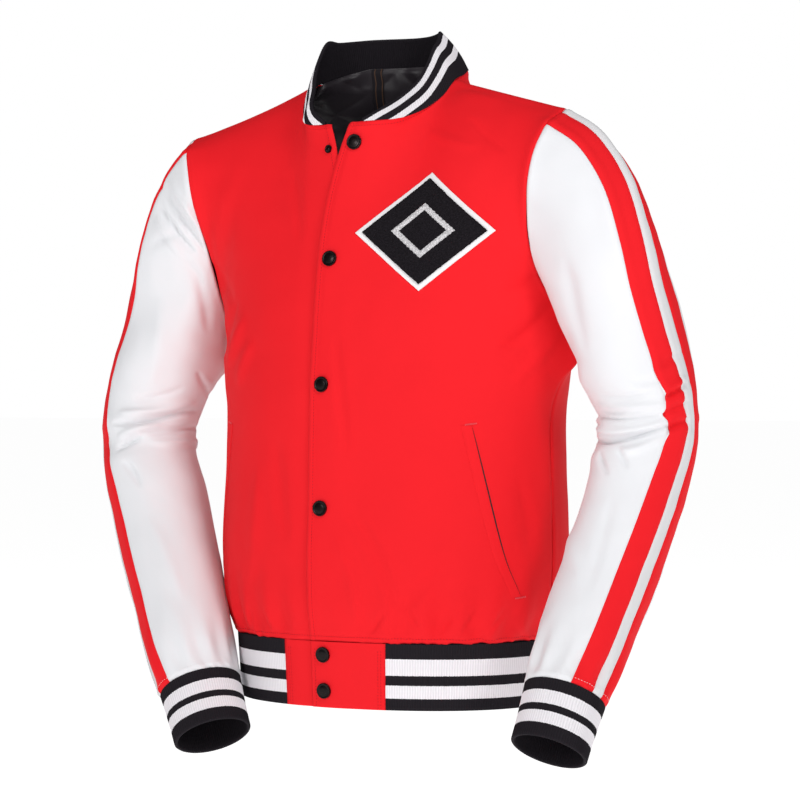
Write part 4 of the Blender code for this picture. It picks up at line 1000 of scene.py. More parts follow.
def new_piece(name, points, faces, materials):
    """A smooth mesh of points in mm, with these materials, that rides on the root body."""
    mesh = bpy.data.meshes.new(name)
    mesh.from_pydata(to_metres(points).tolist(), [], faces.tolist())
    mesh.polygons.foreach_set("use_smooth", [True] * len(mesh.polygons))
    for made in materials:
        mesh.materials.append(made)
    piece = bpy.data.objects.new(name, mesh)
    bpy.context.scene.collection.objects.link(piece)
    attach(piece, "root")
    return piece


def lay_out(name, points, materials, normals_in=False, wrap=False, uv=None):
    """A piece from a grid of points in mm, with UV in metres along and up the cloth."""
    rows, columns = points.shape[:2]
    r, c = np.meshgrid(np.arange(rows - 1), np.arange(columns if wrap else columns - 1), indexing="ij")
    c2 = (c + 1) % columns
    low, high = r * columns, (r + 1) * columns
    quads = np.stack([low + c, low + c2, high + c2, high + c], axis=-1)
    quads = (quads[..., ::-1] if normals_in else quads).reshape(-1, 4)
    piece = new_piece(name, points.reshape(-1, 3), quads, materials)
    if uv is None:
        uv = np.stack([steps_along(points, 1), steps_along(points, 0)], axis=-1) * MM
    layer = piece.data.uv_layers.new(name="cloth")
    layer.data.foreach_set("uv", uv.reshape(-1, 2)[quads.ravel()].astype(np.float32).ravel())
    return piece


def thin_wall(piece, thick, inside):
    """Gives cloth its thickness inwards. inside is the number of the material on its inner face."""
    wall = piece.modifiers.new("wall", "SOLIDIFY")
    wall.thickness = thick * MM
    wall.offset = -1.0
    wall.use_even_offset = False
    wall.material_offset = inside
    return piece


def cut_of(points):
    """Flat width, length and area of a grid of cloth, in metres."""
    wide = float(steps_along(points, 1)[:, -1].max()) * MM
    long = float(steps_along(points, 0)[-1].max()) * MM
    a = np.cross(points[1:, 1:] - points[:-1, :-1], points[1:, :-1] - points[:-1, 1:])
    area = float(np.linalg.norm(a, axis=-1).sum()) / 2.0 * MM * MM
    return wide, long, min(area, wide * long)


def declare(piece, cut, *nodes):
    """Hides the CAD parts of the nodes that the piece stands for. The piece and its flat cut are not used."""
    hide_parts(*nodes)


print("helpers ready for", len(form.grids), "grids")

# %% [markdown]
# ## Finishes
# Each finish is a Principled shader, and the woven cloths, ribs, felt and pile have their own fine relief.
# Woven cloth takes its threads from the cloth UV in metres, knitted ribs take their bands from the distance
# to the fold, and metal is a dark worn gunmetal.


# %%
# A wave texture of scale 1 repeats after this many units
WAVE_REPEAT = 0.314


def finish(name, colour, rough, sheen=0.0, metal=0.0, gloss=0.15):
    """A Principled material, its nodes and its links."""
    made = bpy.data.materials.new(name)
    made.use_nodes = True
    tree = made.node_tree
    shader = tree.nodes["Principled BSDF"]
    shader.inputs["Base Color"].default_value = (*colour, 1.0)
    shader.inputs["Roughness"].default_value = rough
    shader.inputs["Metallic"].default_value = metal
    shader.inputs["Specular IOR Level"].default_value = gloss
    shader.inputs["Sheen Weight"].default_value = sheen
    shader.inputs["Sheen Roughness"].default_value = 0.4
    return made, tree, shader


def feed(tree, socket, value):
    """Links a socket to another one, or sets its value."""
    if isinstance(value, bpy.types.NodeSocket):
        tree.links.new(value, socket)
    else:
        socket.default_value = value


def add_node(tree, kind, **settings):
    """A node with these settings. A setting that names an input feeds it."""
    node = tree.nodes.new(kind)
    for name, value in settings.items():
        title = name.replace("_", " ").title()
        if title in node.inputs:
            feed(tree, node.inputs[title], value)
        else:
            setattr(node, name, value)
    return node


def cloth_uv(tree):
    """The cloth's own measure, in metres along and up it."""
    return add_node(tree, "ShaderNodeUVMap", uv_map="cloth").outputs["UV"]


def object_place(tree):
    """The place on the object, in metres."""
    return add_node(tree, "ShaderNodeTexCoord").outputs["Object"]


def noise(tree, place, scale, detail):
    """Uneven grain, finer with a larger scale."""
    return add_node(tree, "ShaderNodeTexNoise", vector=place, scale=scale, detail=detail).outputs["Fac"]


def stripes(tree, place, axis, apart, **settings):
    """Soft stripes across an axis, this far apart in metres."""
    return add_node(tree, "ShaderNodeTexWave", vector=place, bands_direction=axis, scale=WAVE_REPEAT / apart,
                    **settings).outputs["Fac"]


def compute(tree, operation, *values):
    """Two values worked into one."""
    node = add_node(tree, "ShaderNodeMath", operation=operation)
    for socket, value in zip(node.inputs, values):
        feed(tree, socket, value)
    return node.outputs[0]


def mapped(tree, value, low, high, **settings):
    """A value from 0 to 1 brought between low and high."""
    node = add_node(tree, "ShaderNodeMapRange", value=value, to_min=low, to_max=high, **settings)
    return node.outputs["Result"]


def tint(tree, shader, colour, tone):
    """Gives the shader a colour multiplied by a tone: uneven dye on woven cloth, painted shade on ribs and
    chenille pile.
    """
    base = add_node(tree, "ShaderNodeMix", data_type="RGBA", blend_type="MULTIPLY")
    for socket, value in ((0, 1.0), (6, colour), (7, tone)):
        feed(tree, base.inputs[socket], value)
    tree.links.new(base.outputs[2], shader.inputs["Base Color"])


def relief(tree, shader, height, strength, distance, **settings):
    """Gives the shader a fine relief."""
    bump = add_node(tree, "ShaderNodeBump", height=height, strength=strength, distance=distance, **settings)
    tree.links.new(bump.outputs["Normal"], shader.inputs["Normal"])


def banded(tree, place, reach, first, bands):
    """Plain bands of colour along a distance in metres, each from its start in mm on."""
    ramp = add_node(tree, "ShaderNodeValToRGB", fac=compute(tree, "DIVIDE", place, reach))
    ramp.color_ramp.interpolation = "CONSTANT"
    stops = ramp.color_ramp.elements
    stops.remove(stops[1])
    stops[0].position = 0.0
    stops[0].color = (*first, 1.0)
    for start, colour in bands:
        stops.new(start * MM / reach).color = (*colour, 1.0)
    return ramp.outputs["Color"]


def weave(tree, shader, thread, high, mottle):
    """Crossing threads as relief, and a faint unevenness of the dye."""
    uv = cloth_uv(tree)
    threads = [stripes(tree, uv, axis, thread, distortion=0.6, detail=1.0) for axis in "XY"]
    relief(tree, shader, compute(tree, "MULTIPLY", *threads), 0.5, high)
    dye = mapped(tree, noise(tree, uv, 26.0, 4.0), 1.0 - mottle, 1.0 + mottle)
    tint(tree, shader, shader.inputs["Base Color"].default_value, dye)


RED = (0.80, 0.0095, 0.016)
WHITE = (0.77, 0.775, 0.80)
PALE = (0.68, 0.675, 0.69)
BLACK = (0.015, 0.0125, 0.016)
KNIT_WHITE = (0.84, 0.815, 0.85)
cloth_finishes = {}
for name, colour, rough, mottle in (("shell_red", RED, 0.72, 0.02), ("sleeve_white", WHITE, 0.66, 0.012),
                                    ("stripe_pale", PALE, 0.66, 0.02)):
    made, tree, shader = finish(name, colour, rough)
    weave(tree, shader, 0.0007, 0.00006, mottle)
    cloth_finishes[name] = made
lining_black, tree, shader = finish("lining_black", (0.026, 0.021, 0.026), 0.42, gloss=0.4)
weave(tree, shader, 0.0005, 0.00004, 0.06)
cloth_finishes["lining_black"] = lining_black

# Bands of each rib in mm from its fold, black first, then the rib's measures in metres
COLLAR_BANDS = (5.0, 12.0, 20.5, 28.5)
CUFF_BANDS = (13.5, 25.5, 32.5, 46.0)
HEM_BANDS = (12.0, 25.0, 34.5, 51.0)
RAGGED_EDGE = 0.0005
KNIT_COURSE = 0.0013
RIB_REACH = 0.1


def rib_finish(name, bands):
    """Knitted rib: bands by the distance to the fold, painted shade in the valleys between the wales, with
    stitches as relief.
    """
    made, tree, shader = finish(name, BLACK, 0.85, gloss=0.1)
    uv = cloth_uv(tree)
    ragged = mapped(tree, noise(tree, uv, 900.0, 1.0), -RAGGED_EDGE, RAGGED_EDGE)
    place = compute(tree, "ADD", add_node(tree, "ShaderNodeSeparateXYZ", vector=uv).outputs["Y"], ragged)
    colours = [(start, (KNIT_WHITE, BLACK)[index % 2]) for index, start in enumerate(bands)]
    # Painted shade: the wale attribute darkens the colour in the valleys between the wales and lightens their
    # tops a little.
    wale = add_node(tree, "ShaderNodeAttribute", attribute_name="wale").outputs["Fac"]
    tint(tree, shader, banded(tree, place, RIB_REACH, BLACK, colours), mapped(tree, wale, 0.87, 1.04))
    relief(tree, shader, stripes(tree, uv, "Y", KNIT_COURSE, distortion=0.8), 0.6, 0.00018)
    return made


rib_finishes = {"collar": rib_finish("rib_collar", COLLAR_BANDS), "cuff": rib_finish("rib_cuff", CUFF_BANDS),
                "hem": rib_finish("rib_hem", HEM_BANDS), "inside": rib_finish("rib_inside", ())}

felt_white, tree, shader = finish("felt_white", (0.80, 0.785, 0.80), 0.9)
relief(tree, shader, noise(tree, object_place(tree), 1500.0, 3.0), 0.4, 0.0003)


def loop_pile(name, colour):
    """Chenille: round loops side by side as relief, with painted shade between them and painted light on
    their tops.
    """
    made, tree, shader = finish(name, colour, 0.95, gloss=0.05)
    place = object_place(tree)
    loops = add_node(tree, "ShaderNodeTexVoronoi", vector=place, scale=620.0).outputs["Distance"]
    # Painted shade and light: the colour darkens between the loops and lightens on their tops.
    tint(tree, shader, (*colour, 1.0), mapped(tree, loops, 1.15, 0.6, from_max=0.7))
    relief(tree, shader, loops, 0.9, 0.0012, invert=True)
    return made


pile_black = loop_pile("pile_black", (0.016, 0.0135, 0.0165))
pile_white = loop_pile("pile_white", (0.80, 0.78, 0.80))

gunmetal, tree, shader = finish("snap_metal", (0.014, 0.011, 0.011), 0.26, metal=0.9, gloss=0.5)
wear = noise(tree, object_place(tree), 420.0, 5.0)
feed(tree, shader.inputs["Roughness"], mapped(tree, wear, 0.18, 0.38))

thread_seam = finish("thread_red", (0.36, 0.006, 0.014), 0.6)[0]
thread_white = finish("thread_white", (0.78, 0.76, 0.78), 0.6)[0]
# Black of the painted shadow laid beside the pocket welts, not a thread.
thread_black = finish("thread_black", (0.02, 0.018, 0.02), 0.6)[0]
thread_pink = finish("thread_pink", (0.86, 0.10, 0.12), 0.6)[0]

TAPE_BLACK = (0.022, 0.018, 0.020)
TAPE_LINE = (0.085, 0.045, 0.028)
TAPE_BANDS = ((0.8, TAPE_LINE), (1.9, BLACK), (7.6, TAPE_LINE), (8.7, BLACK))
TAPE_REACH = 0.01
tape_black, tree, shader = finish("tape_black", TAPE_BLACK, 0.6, 0.1)
across = add_node(tree, "ShaderNodeSeparateXYZ", vector=cloth_uv(tree)).outputs["X"]
feed(tree, shader.inputs["Base Color"], banded(tree, across, TAPE_REACH, TAPE_BLACK, TAPE_BANDS))
print("finishes:", len(bpy.data.materials))

# %% [markdown]
# ## Body panels
# Fronts and back are read finely, then lifted by creases, rumples, gathers at the hem, curled seams and a
# dimple round each snap. All of it fades out under the badge and round the pocket so that what is laid on
# stays clear.

# %%
ROWS_PER_STEP = 8
COLUMNS_PER_STEP = 7
RUMPLE = 1.1
SMALL_RUMPLE = 0.28
PLACKET_RIDGE = 1.0
SNAP_DIMPLE = 0.5


def pocket_line(points, side):
    """Distance from the pocket's slit."""
    a = np.array([WELT_TOP[0] * side, WELT_TOP[1]])
    b = np.array([WELT_FOOT[0] * side, WELT_FOOT[1]])
    p = points[..., [0, 2]] - a
    along = (p @ (b - a)) / ((b - a) @ (b - a))
    return np.linalg.norm(p - np.clip(along, 0.0, 1.0)[..., None] * (b - a), axis=-1)


panels = {}
for index, name in enumerate(body_grids):
    coarse = form.grids[name]
    points = dense_grid(coarse, spread(0, coarse.shape[0] - 1, ROWS_PER_STEP),
                        spread(0, coarse.shape[1] - 1, COLUMNS_PER_STEP))
    normals = out_of(points)
    from_left, below = steps_along(points, 1), steps_along(points, 0)
    from_right, above = from_left[:, -1:] - from_left, below[-1:] - below
    lift = rumples(points, 120.0, 31 + index) * RUMPLE + rumples(points, 42.0, 61 + index) * SMALL_RUMPLE
    lift += crease_lift(name, points, normals)
    pleats = gathers(from_left, below, from_left.max(), spacing=9.0, high=2.4, reach=19.0, seed=41 + index)
    side = {"front_left": 1.0, "front_right": -1.0}.get(name, 0.0)
    if side:
        free, seam_side = (from_left, from_right) if side > 0 else (from_right, from_left)
        pleats *= ease(40.0, 90.0, free)
        lift *= ease(6.0, 40.0, free) * 0.75 + 0.25
        lift *= 0.25 + 0.75 * ease(8.0, 30.0, pocket_line(points, side))
        for height in SNAP_HEIGHTS[:SHELL_SNAPS]:
            away = np.hypot(points[..., 2] - height, np.where(points[..., 1] < 0, free - LEFT_LAP, 99.0))
            lift -= SNAP_DIMPLE * np.exp(-((away / 10.0) ** 2))
    if name == "front_left":
        x, height = BADGE_MIDDLE
        near_badge = np.abs(points[..., 0] - x) / 80.0 + np.abs(points[..., 2] - height) / 66.0
        lift *= ease(0.9, 1.5, np.where(points[..., 1] < 0, near_badge, 9.0))
    lift += pleats
    lift *= ease(0.0, 7.0, above) * 0.9 + 0.1
    lift += seam_curl(below, 1.5, 0.5) + seam_curl(above, 0.9) - 0.7 * np.exp(-(((below - 6.0) / 1.6) ** 2))
    if side:
        lift += seam_curl(seam_side, 1.0) * ease(0.0, 20.0, below)
        lift += PLACKET_RIDGE * np.exp(-(((free - 4.0) / 3.0) ** 2)) - 0.5 * np.exp(-((free / 1.2) ** 2))
    else:
        lift += (seam_curl(from_left, 1.0) + seam_curl(from_right, 1.0)) * ease(0.0, 20.0, below)
    points = points + normals * lift[..., None]
    panels[name] = (points, out_of(points))
    piece = lay_out(name + "_cloth", points,
                    [cloth_finishes["shell_red"], cloth_finishes["lining_black"]])
    thin_wall(piece, PANEL_THIN, 1)
    declare(piece, cut_of(points), name)

# %% [markdown]
# ## Sleeves
# The whole sleeve is read and creased as one tube, then cut into its five strips, so every strip meets the
# next. The strips' seams are drawn in a little, the cloth gathers into the cuff, and the elbow carries the
# main creases.

# %%
STRIPS = (("pale", -1, 1, "stripe_pale"), ("red_a", 1, 3, "shell_red"), ("white_a", 3, 12, "sleeve_white"),
          ("white_b", 12, 21, "sleeve_white"), ("red_b", 21, 23, "shell_red"))
# Sideways slips of a stripe's border where it dips into a fold, in mm: arm, column, level, reach and slip
STRIPE_SLIPS = (
    ("right", 3, -22.0, 7.0, 4.0), ("right", 3, -47.0, 6.0, -3.0), ("right", 1, -30.0, 8.0, 2.5),
    ("left", 21, 6.0, 6.0, -2.5), ("left", 21, -14.0, 4.0, 4.0), ("left", 21, -30.0, 7.0, -3.5),
    ("left", 23, -8.0, 6.0, 2.5), ("left", 23, -28.0, 6.0, -2.0), ("left", 1, -12.0, 7.0, 2.0),
    ("left", 21, 28.0, 8.0, 2.0), ("right", 21, -26.0, 7.0, 3.0), ("right", 23, -42.0, 7.0, -2.5),
    ("left", 3, -18.0, 7.0, 3.0), ("left", 3, -40.0, 6.0, -2.5),
)
SEAM_COLUMNS = (1, 3, ARM_STEPS, 21, 23)


def nearest(values, wanted):
    """Number of the value that is nearest to the wanted one."""
    return int(np.argmin(np.abs(values - wanted)))


sleeve_rings = {}
for index, (name, side) in enumerate(SIDES.items()):
    part = "sleeve_" + name
    places = [spread(first, last, COLUMNS_PER_STEP) for _, first, last, _ in STRIPS]
    around = np.unique(np.concatenate([p % AROUND for p in places]))
    ring = dense_grid(form.grids[part], spread(0, SLEEVE_ROWS, ROWS_PER_STEP), around, True)
    normals = out_of(ring, True)
    up = steps_along(ring, 0)
    above = up[-1:] - up
    along = steps_along(np.concatenate([ring, ring[:, :1]], axis=1), 1)[:, :-1]
    lift = rumples(ring, 95.0, 71 + index) + rumples(ring, 36.0, 81 + index) * 0.35
    lift += crease_lift(part, ring, normals)
    cuff_pleats = gathers(along, up, along.max(), spacing=8.5, high=1.6, reach=13.0, seed=91 + index)
    arm_pleats = gathers(along, above, along.max(), spacing=17.0, high=0.9, reach=24.0, seed=95 + index)
    lift += (cuff_pleats + arm_pleats) * ease(0, 12, along)
    lift *= ease(0.0, 7.0, above) * 0.9 + 0.1
    lift += seam_curl(up, 1.0, 0.5) + seam_curl(above, 1.0, 0.5)
    from_seam = {}
    for column in SEAM_COLUMNS:
        at = nearest(around, column)
        from_seam[column] = at, np.abs(along - along[:, at:at + 1])
        lift += seam_curl(from_seam[column][1], 0.9 if column == ARM_STEPS else 0.65, 0.22)
    ring = ring + normals * lift[..., None]
    tangent = unit(np.roll(ring, -1, axis=1) - np.roll(ring, 1, axis=1))
    aside = np.zeros(ring.shape[:2])
    for arm, column, level, half, slip in STRIPE_SLIPS:
        if arm == name:
            at, away = from_seam[column]
            near = np.minimum(away, along.max() - away)
            dip = np.exp(-(((ring[:, at:at + 1, 2] - level) / half) ** 2))
            aside += slip * dip * np.exp(-((near / 9.0) ** 2))
    ring = ring - tangent * aside[..., None] * side
    sleeve_rings[name] = ring
    for (label, first, last, slot), place in zip(STRIPS, places):
        points = ring[:, [nearest(around, p) for p in place % AROUND]]
        # The strips run round the arm, so the first ones lie in front on one arm and behind on the other.
        front = label.endswith("_a") == (name == "right")
        plain = label.split("_")[0]
        title = f"sleeve_{name}_" + (plain if plain == "pale" else plain + ("_front" if front else "_back"))
        finishes = [cloth_finishes[slot], cloth_finishes["lining_black"]]
        piece = lay_out(title + "_cloth", points, finishes)
        thin_wall(piece, SLEEVE_THIN, 1)
        declare(piece, cut_of(points), *[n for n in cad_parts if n.startswith(title)])

# %% [markdown]
# ## Knitted ribs
# Each rib is one folded strip: up its inside, round the fold and down its outside, with a wale every 2.6
# mm. The profile is a table of places from the fold and sides of the middle, so the same function makes
# collar, cuffs, hem.

# %%
WALE = 2.6
WALE_HIGH = 0.32
WALE_SAMPLES = 4
PLAIN_STEP = 12.0
ROW_SPLIT = 4


def rib_profile(length, thick, step):
    """Places round a folded strip: distance from the fold, and side from -1 inside to 1 outside."""
    half = thick / 2.0
    straight = np.arange(length, half + step * 0.5, -step)
    turn = np.linspace(0.0, math.pi, 7)
    fold = [(half * (1.0 - math.sin(a)), -math.cos(a)) for a in turn]
    inside = [(v, -1.0) for v in straight]
    outside = [(v, 1.0) for v in straight[::-1]]
    return inside + fold + outside


def fold_strip(name, grid, thick, slot, materials, wrap=False, fold_last=False, wales=True, step=3.0):
    """A folded strip on a coarse grid, with its fold on the first row, or on the last with fold_last."""
    coarse = grid[::-1] if fold_last else grid
    seam = np.concatenate([coarse[-1], coarse[-1][:1]]) if wrap else coarse[-1]
    count = max(int(round(length_of(seam) / (WALE if wales else PLAIN_STEP))), 4)
    steps = coarse.shape[1] if wrap else coarse.shape[1] - 1
    columns = np.linspace(0.0, steps, count * WALE_SAMPLES + 1)
    columns = columns[:-1] if wrap else columns
    fine_rows = np.linspace(0.0, len(coarse) - 1.0, ROW_SPLIT * (len(coarse) - 1) + 1)
    fine = dense_grid(coarse, fine_rows, columns, wrap)
    ways = out_of(fine, wrap)
    if fold_last:
        ways = -ways
    reach = steps_along(fine, 0)
    tall = reach[-1]
    index = np.arange(len(columns))
    wave = 0.5 + 0.5 * np.cos(index * 2.0 * math.pi / WALE_SAMPLES)
    raised = (WALE_HIGH if wales else 0.0) * (2.0 * wave - 1.0)
    rows = []
    marks = []
    for v, part in rib_profile(tall.max(), thick, step):
        share = v / tall.max() * tall
        place = np.array([np.interp(s, reach[:, c], fine_rows) for c, s in enumerate(share)]) * ROW_SPLIT
        low = np.clip(place.astype(int), 0, len(fine) - 2)
        t = (place - low)[:, None]
        way = unit(ways[low, index] * (1.0 - t) + ways[low + 1, index] * t)
        off = -thick / 2.0 + part * thick / 2.0 + part * raised
        rows.append(fine[low, index] * (1.0 - t) + fine[low + 1, index] * t + way * off[:, None])
        marks.append(share)
    points = np.stack(rows)
    across = steps_along(fine, 1)[-1]
    measures = [np.tile(wave, (len(points), 1)), np.tile(across, (len(points), 1)), np.stack(marks)]
    if not wrap:
        # The open ends close on the middle of the fold.
        middle = 0.5 * (points + points[::-1])
        points = np.concatenate([middle[:, :1], points, middle[:, -1:]], axis=1)
        measures = [np.concatenate([m[:, :1], m, m[:, -1:]], axis=1) for m in measures]
    tone, wide, high = measures
    piece = lay_out(name, points, materials, wrap=wrap, uv=np.stack([wide, high], axis=-1) * MM)
    # The wale attribute is the wales' rise and fall, which the rib finish turns into painted shade in the
    # valleys.
    shade = piece.data.attributes.new("wale", "FLOAT", "POINT")
    shade.data.foreach_set("value", tone.astype(np.float32).ravel())
    numbers = np.zeros((len(points) - 1, points.shape[1] if wrap else points.shape[1] - 1), dtype=np.int32)
    if len(materials) > 1:
        numbers[:len(points) // 2 - 1] = 1
    piece.data.polygons.foreach_set("material_index", numbers.ravel())
    wide, long, area = cut_of(fine)
    return piece, points[len(points) // 2:], (wide, 2.0 * long, 2.0 * area)


left_cols = LEFT_TAB_COLUMNS + LAP_STEPS
right_cols = RIGHT_TAB_COLUMNS + LAP_STEPS
hem_left, hem_back, hem_right = (form.grids["hem_" + n] for n in ("front_left", "back", "front_right"))
hem_grid = np.concatenate([hem_left[:, left_cols:-1], hem_back[:, :-1], hem_right[:, :-right_cols]], axis=1)
ribs = (
    ("hem_rib", "hem", hem_grid, {}),
    ("cuff_left", "cuff", form.grids["cuff_left"], {"wrap": True}),
    ("cuff_right", "cuff", form.grids["cuff_right"], {"wrap": True}),
    ("collar_rib", "collar", form.grids["collar"], {"fold_last": True, "step": 2.5}),
)
for node, kind, grid, ways in ribs:
    piece, _, cut = fold_strip(node + "_knit", grid, RIB_THIN, "rib_black",
                               [rib_finishes[kind], rib_finishes["inside"]], **ways)
    declare(piece, cut, node)
tab_cloths = {}
for name, grid in (("left", hem_left[:, :left_cols + 1]), ("right", hem_right[:, -right_cols - 1:])):
    piece, tab_cloths[name], cut = fold_strip(f"tab_{name}_cloth", grid, TAB_THIN, "shell_red",
                                              [cloth_finishes["shell_red"]], wales=False)
    declare(piece, cut, "tab_" + name)

# %% [markdown]
# ## Lining and tape
# The back of the neck shows the inside: black nylon, quilted in diagonals and gathered a little under the
# collar. A plain woven tape with a bronze line along each edge hangs over it, a little to the wearer's
# right.

# %%
QUILT_HIGH = 2.4
QUILT_LEAN = 0.8
TAPE_LIFT = 1.1

lining_base = lining_back - lining_way * LINING_WALL
lining_points = dense_grid(lining_base, spread(0, lining_base.shape[0] - 1, 9),
                           spread(0, lining_base.shape[1] - 1, 4))
inward_ways = out_of(lining_points)
side_run, fall = lining_points[..., 0] * QUILT_LEAN, -lining_points[..., 2]
puff_a, puff_b = (np.abs(np.sin(math.pi * way / QUILT_STEP)) for way in (side_run + fall, side_run - fall))
puff = QUILT_HIGH * np.minimum(puff_a, puff_b) ** 0.6
puff += rumples(lining_points, 26.0, 7) * 0.6
top_down = steps_along(lining_points, 0)
puff += gathers(steps_along(lining_points, 1), top_down, 400.0, spacing=11.0, high=1.1, reach=22.0, seed=15)
puff *= 0.15 + 0.85 * ease(7.0, 13.0, np.abs(lining_points[..., 0] - sum(TAPE_X) / 2.0))
puff *= ease(0.0, 5.0, top_down)
lining_points = lining_points + inward_ways * puff[..., None]
piece = lay_out("neck_lining_cloth", lining_points, [lining_black])
thin_wall(piece, LINING_THIN, 0)
declare(piece, cut_of(lining_points), "neck_lining")

tape_rows = []
for index, (row, ways) in enumerate(zip(lining_points, out_of(lining_points))):
    order = np.argsort(row[:, 0])
    share = index / len(lining_points)
    places = TAPE_X[0] + (TAPE_X[1] - TAPE_X[0]) * share + np.linspace(TAPE_WIDE / 2.0, -TAPE_WIDE / 2.0, 9)
    off = unit(read_at(row[order, 0], ways[order], places)) * TAPE_LIFT
    tape_rows.append(read_at(row[order, 0], row[order], places) + off)
tape_points = np.array(tape_rows)
piece = lay_out("neck_tape_cloth", tape_points, [tape_black])
thin_wall(piece, TAPE_THIN, 0)
declare(piece, cut_of(tape_points), "neck_tape")

# %% [markdown]
# ## Badge
# A diamond of white felt, a black chenille diamond on it, and a thin white chenille ring. They are read
# from the finished front, so they follow its curve, and their borders round over.

# %%
DIAMOND = ((0.0, -1.0), (1.0, 0.0), (0.0, 1.0), (-1.0, 0.0), (0.0, -1.0))
RING_STEPS = 28
SINK = 0.1
# Sections of the ring: share of the badge's size, and height above the pile
RING_PROFILE = ((RING_IN, 0.0), (RING_IN + 0.012, 0.8), (RING_IN + 0.04, 1.25),
                ((RING_IN + RING_OUT) / 2, 1.45),
                (RING_OUT - 0.04, 1.25), (RING_OUT - 0.012, 0.8), (RING_OUT, 0.0))
sections = {}


def place_on(panel, x, height, aside=0.0):
    """Point and way out of a finished panel at this x and height, then aside along the cloth."""
    key = (panel, round(height, 2))
    if key not in sections:
        points, ways = section(*panels[panel], height)
        if points[0, 0] > points[-1, 0]:
            points, ways = points[::-1], ways[::-1]
        sections[key] = (points, ways, run_of(points))
    points, ways, length = sections[key]
    at = np.interp(x, points[:, 0], length) + aside
    return read_at(length, points, at), unit(read_at(length, ways, at))


def above_cloth(panel, x, height, aside, high):
    """A point this high above a finished panel."""
    point, way = place_on(panel, x, height, aside)
    return point + way * high


def badge_sheet(node, size, cells, low, top, made, rough_edge):
    """A diamond of cloth with rounded borders between two heights above the front."""
    x, height = BADGE_MIDDLE
    wide, high = BADGE_WIDE * size, BADGE_HIGH * size
    steps = np.concatenate([[0.0, 0.0, 0.004], np.linspace(0.012, 0.988, cells), [0.996, 1.0, 1.0]])
    dice = np.random.RandomState(5)
    shiver = np.convolve(dice.normal(size=400), np.ones(3) / 3.0, "same") * rough_edge
    rows = []
    for i, a in enumerate(steps):
        row = []
        for j, b in enumerate(steps):
            from_edge = min(min(a, 1.0 - a) * high, min(b, 1.0 - b) * high)
            skirt = i in (0, len(steps) - 1) or j in (0, len(steps) - 1)
            edge = shiver[(i * 3 + j * 7) % 400] if from_edge < 0.02 * high else 0.0
            round_off = 1.0 - 0.55 * math.exp(-from_edge / 0.9)
            lift = low if skirt else low + (top - low) * round_off
            row.append(above_cloth("front_left", x, height + (a + b - 1.0) * (high + edge) / 2.0,
                                   (b - a) * (wide + edge) / 2.0, lift))
        rows.append(row)
    piece = lay_out(node + "_cloth", np.array(rows), [made])
    thin_wall(piece, BADGE_THIN, 0)
    declare(piece, cut_of(np.array(rows)), node)


felt_top = LAY_CLEAR + FELT_THICK
pile_top = felt_top + 0.45 + PILE_THICK
shrink = 1.0 - 2.0 * BADGE_EDGE * math.hypot(BADGE_WIDE, BADGE_HIGH) / (BADGE_WIDE * BADGE_HIGH)
badge_sheet("badge_felt", 1.0, 30, 0.15, felt_top, felt_white, 0.35)
badge_sheet("badge_pile", shrink, 54, felt_top - SINK, pile_top, pile_black, 0.9)

ring_rows = []
for share, lifted in RING_PROFILE:
    row = []
    for k in range(4 * RING_STEPS):
        side, t = divmod(k, RING_STEPS)
        p = np.array(DIAMOND[side]) * (1.0 - t / RING_STEPS) + np.array(DIAMOND[side + 1]) * t / RING_STEPS
        wobble = 1.0 + 0.012 * math.sin(k * 1.9) + 0.008 * math.sin(k * 4.3)
        row.append(above_cloth("front_left", BADGE_MIDDLE[0],
                               BADGE_MIDDLE[1] + p[1] * share * BADGE_HIGH / 2.0 * wobble,
                               p[0] * share * BADGE_WIDE / 2.0 * wobble, pile_top - 0.05 + lifted))
    ring_rows.append(row)
piece = lay_out("badge_ring_cloth", np.array(ring_rows), [pile_white], wrap=True,
                normals_in=True)
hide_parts("badge_motif")
print("badge: felt, pile and ring")

# %% [markdown]
# ## Snaps
# Six pressed caps run down the wearer's left edge, the top one open, with its stud on the other front. A
# cap is a short cylinder whose top is inset and pushed up and down into a rim and a shallow dome, with its
# edges rounded.

# %%
SNAP_SHOWN = 0.72
SNAP_OFF = 0.1


def turned_cap(node, point, way, radius, thick, dome):
    """A pressed snap part modelled at the origin and then set on the cloth."""
    name = node + "_cap"
    bpy.ops.object.select_all(action="DESELECT")
    bpy.ops.mesh.primitive_cylinder_add(vertices=48, radius=radius * MM, depth=thick * MM)
    cap = bpy.context.active_object
    cap.name = name
    cap.data.name = name
    bpy.ops.object.mode_set(mode="EDIT")
    bpy.ops.mesh.select_all(action="DESELECT")
    bpy.ops.object.mode_set(mode="OBJECT")
    for face in cap.data.polygons:
        face.select = face.normal.z > 0.9
    bpy.ops.object.mode_set(mode="EDIT")
    for inset, rise in ((0.16, 0.02), (0.05, -0.10), (0.06, -0.02), (0.16, dome), (0.20, dome * 0.55),
                        (0.16, dome * 0.2)):
        bpy.ops.mesh.inset(thickness=inset * radius * MM)
        bpy.ops.transform.translate(value=(0.0, 0.0, rise * thick * MM))
    bpy.ops.object.mode_set(mode="OBJECT")
    bevel = cap.modifiers.new("rounded", "BEVEL")
    bevel.width = 0.3 * MM
    bevel.segments = 2
    bevel.angle_limit = math.radians(50.0)
    bpy.ops.object.modifier_apply(modifier="rounded")
    bpy.ops.object.shade_smooth_by_angle(angle=math.radians(42.0))
    out = Vector(np.asarray(way).tolist())
    turn = out.to_track_quat("Z", "Y").to_matrix().to_4x4()
    turn.translation = Vector(to_metres(point + way * SNAP_OFF).tolist()) + out * thick * MM * 0.5
    cap.data.transform(turn)
    cap.data.materials.append(gunmetal)
    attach(cap, "root")
    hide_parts(node)


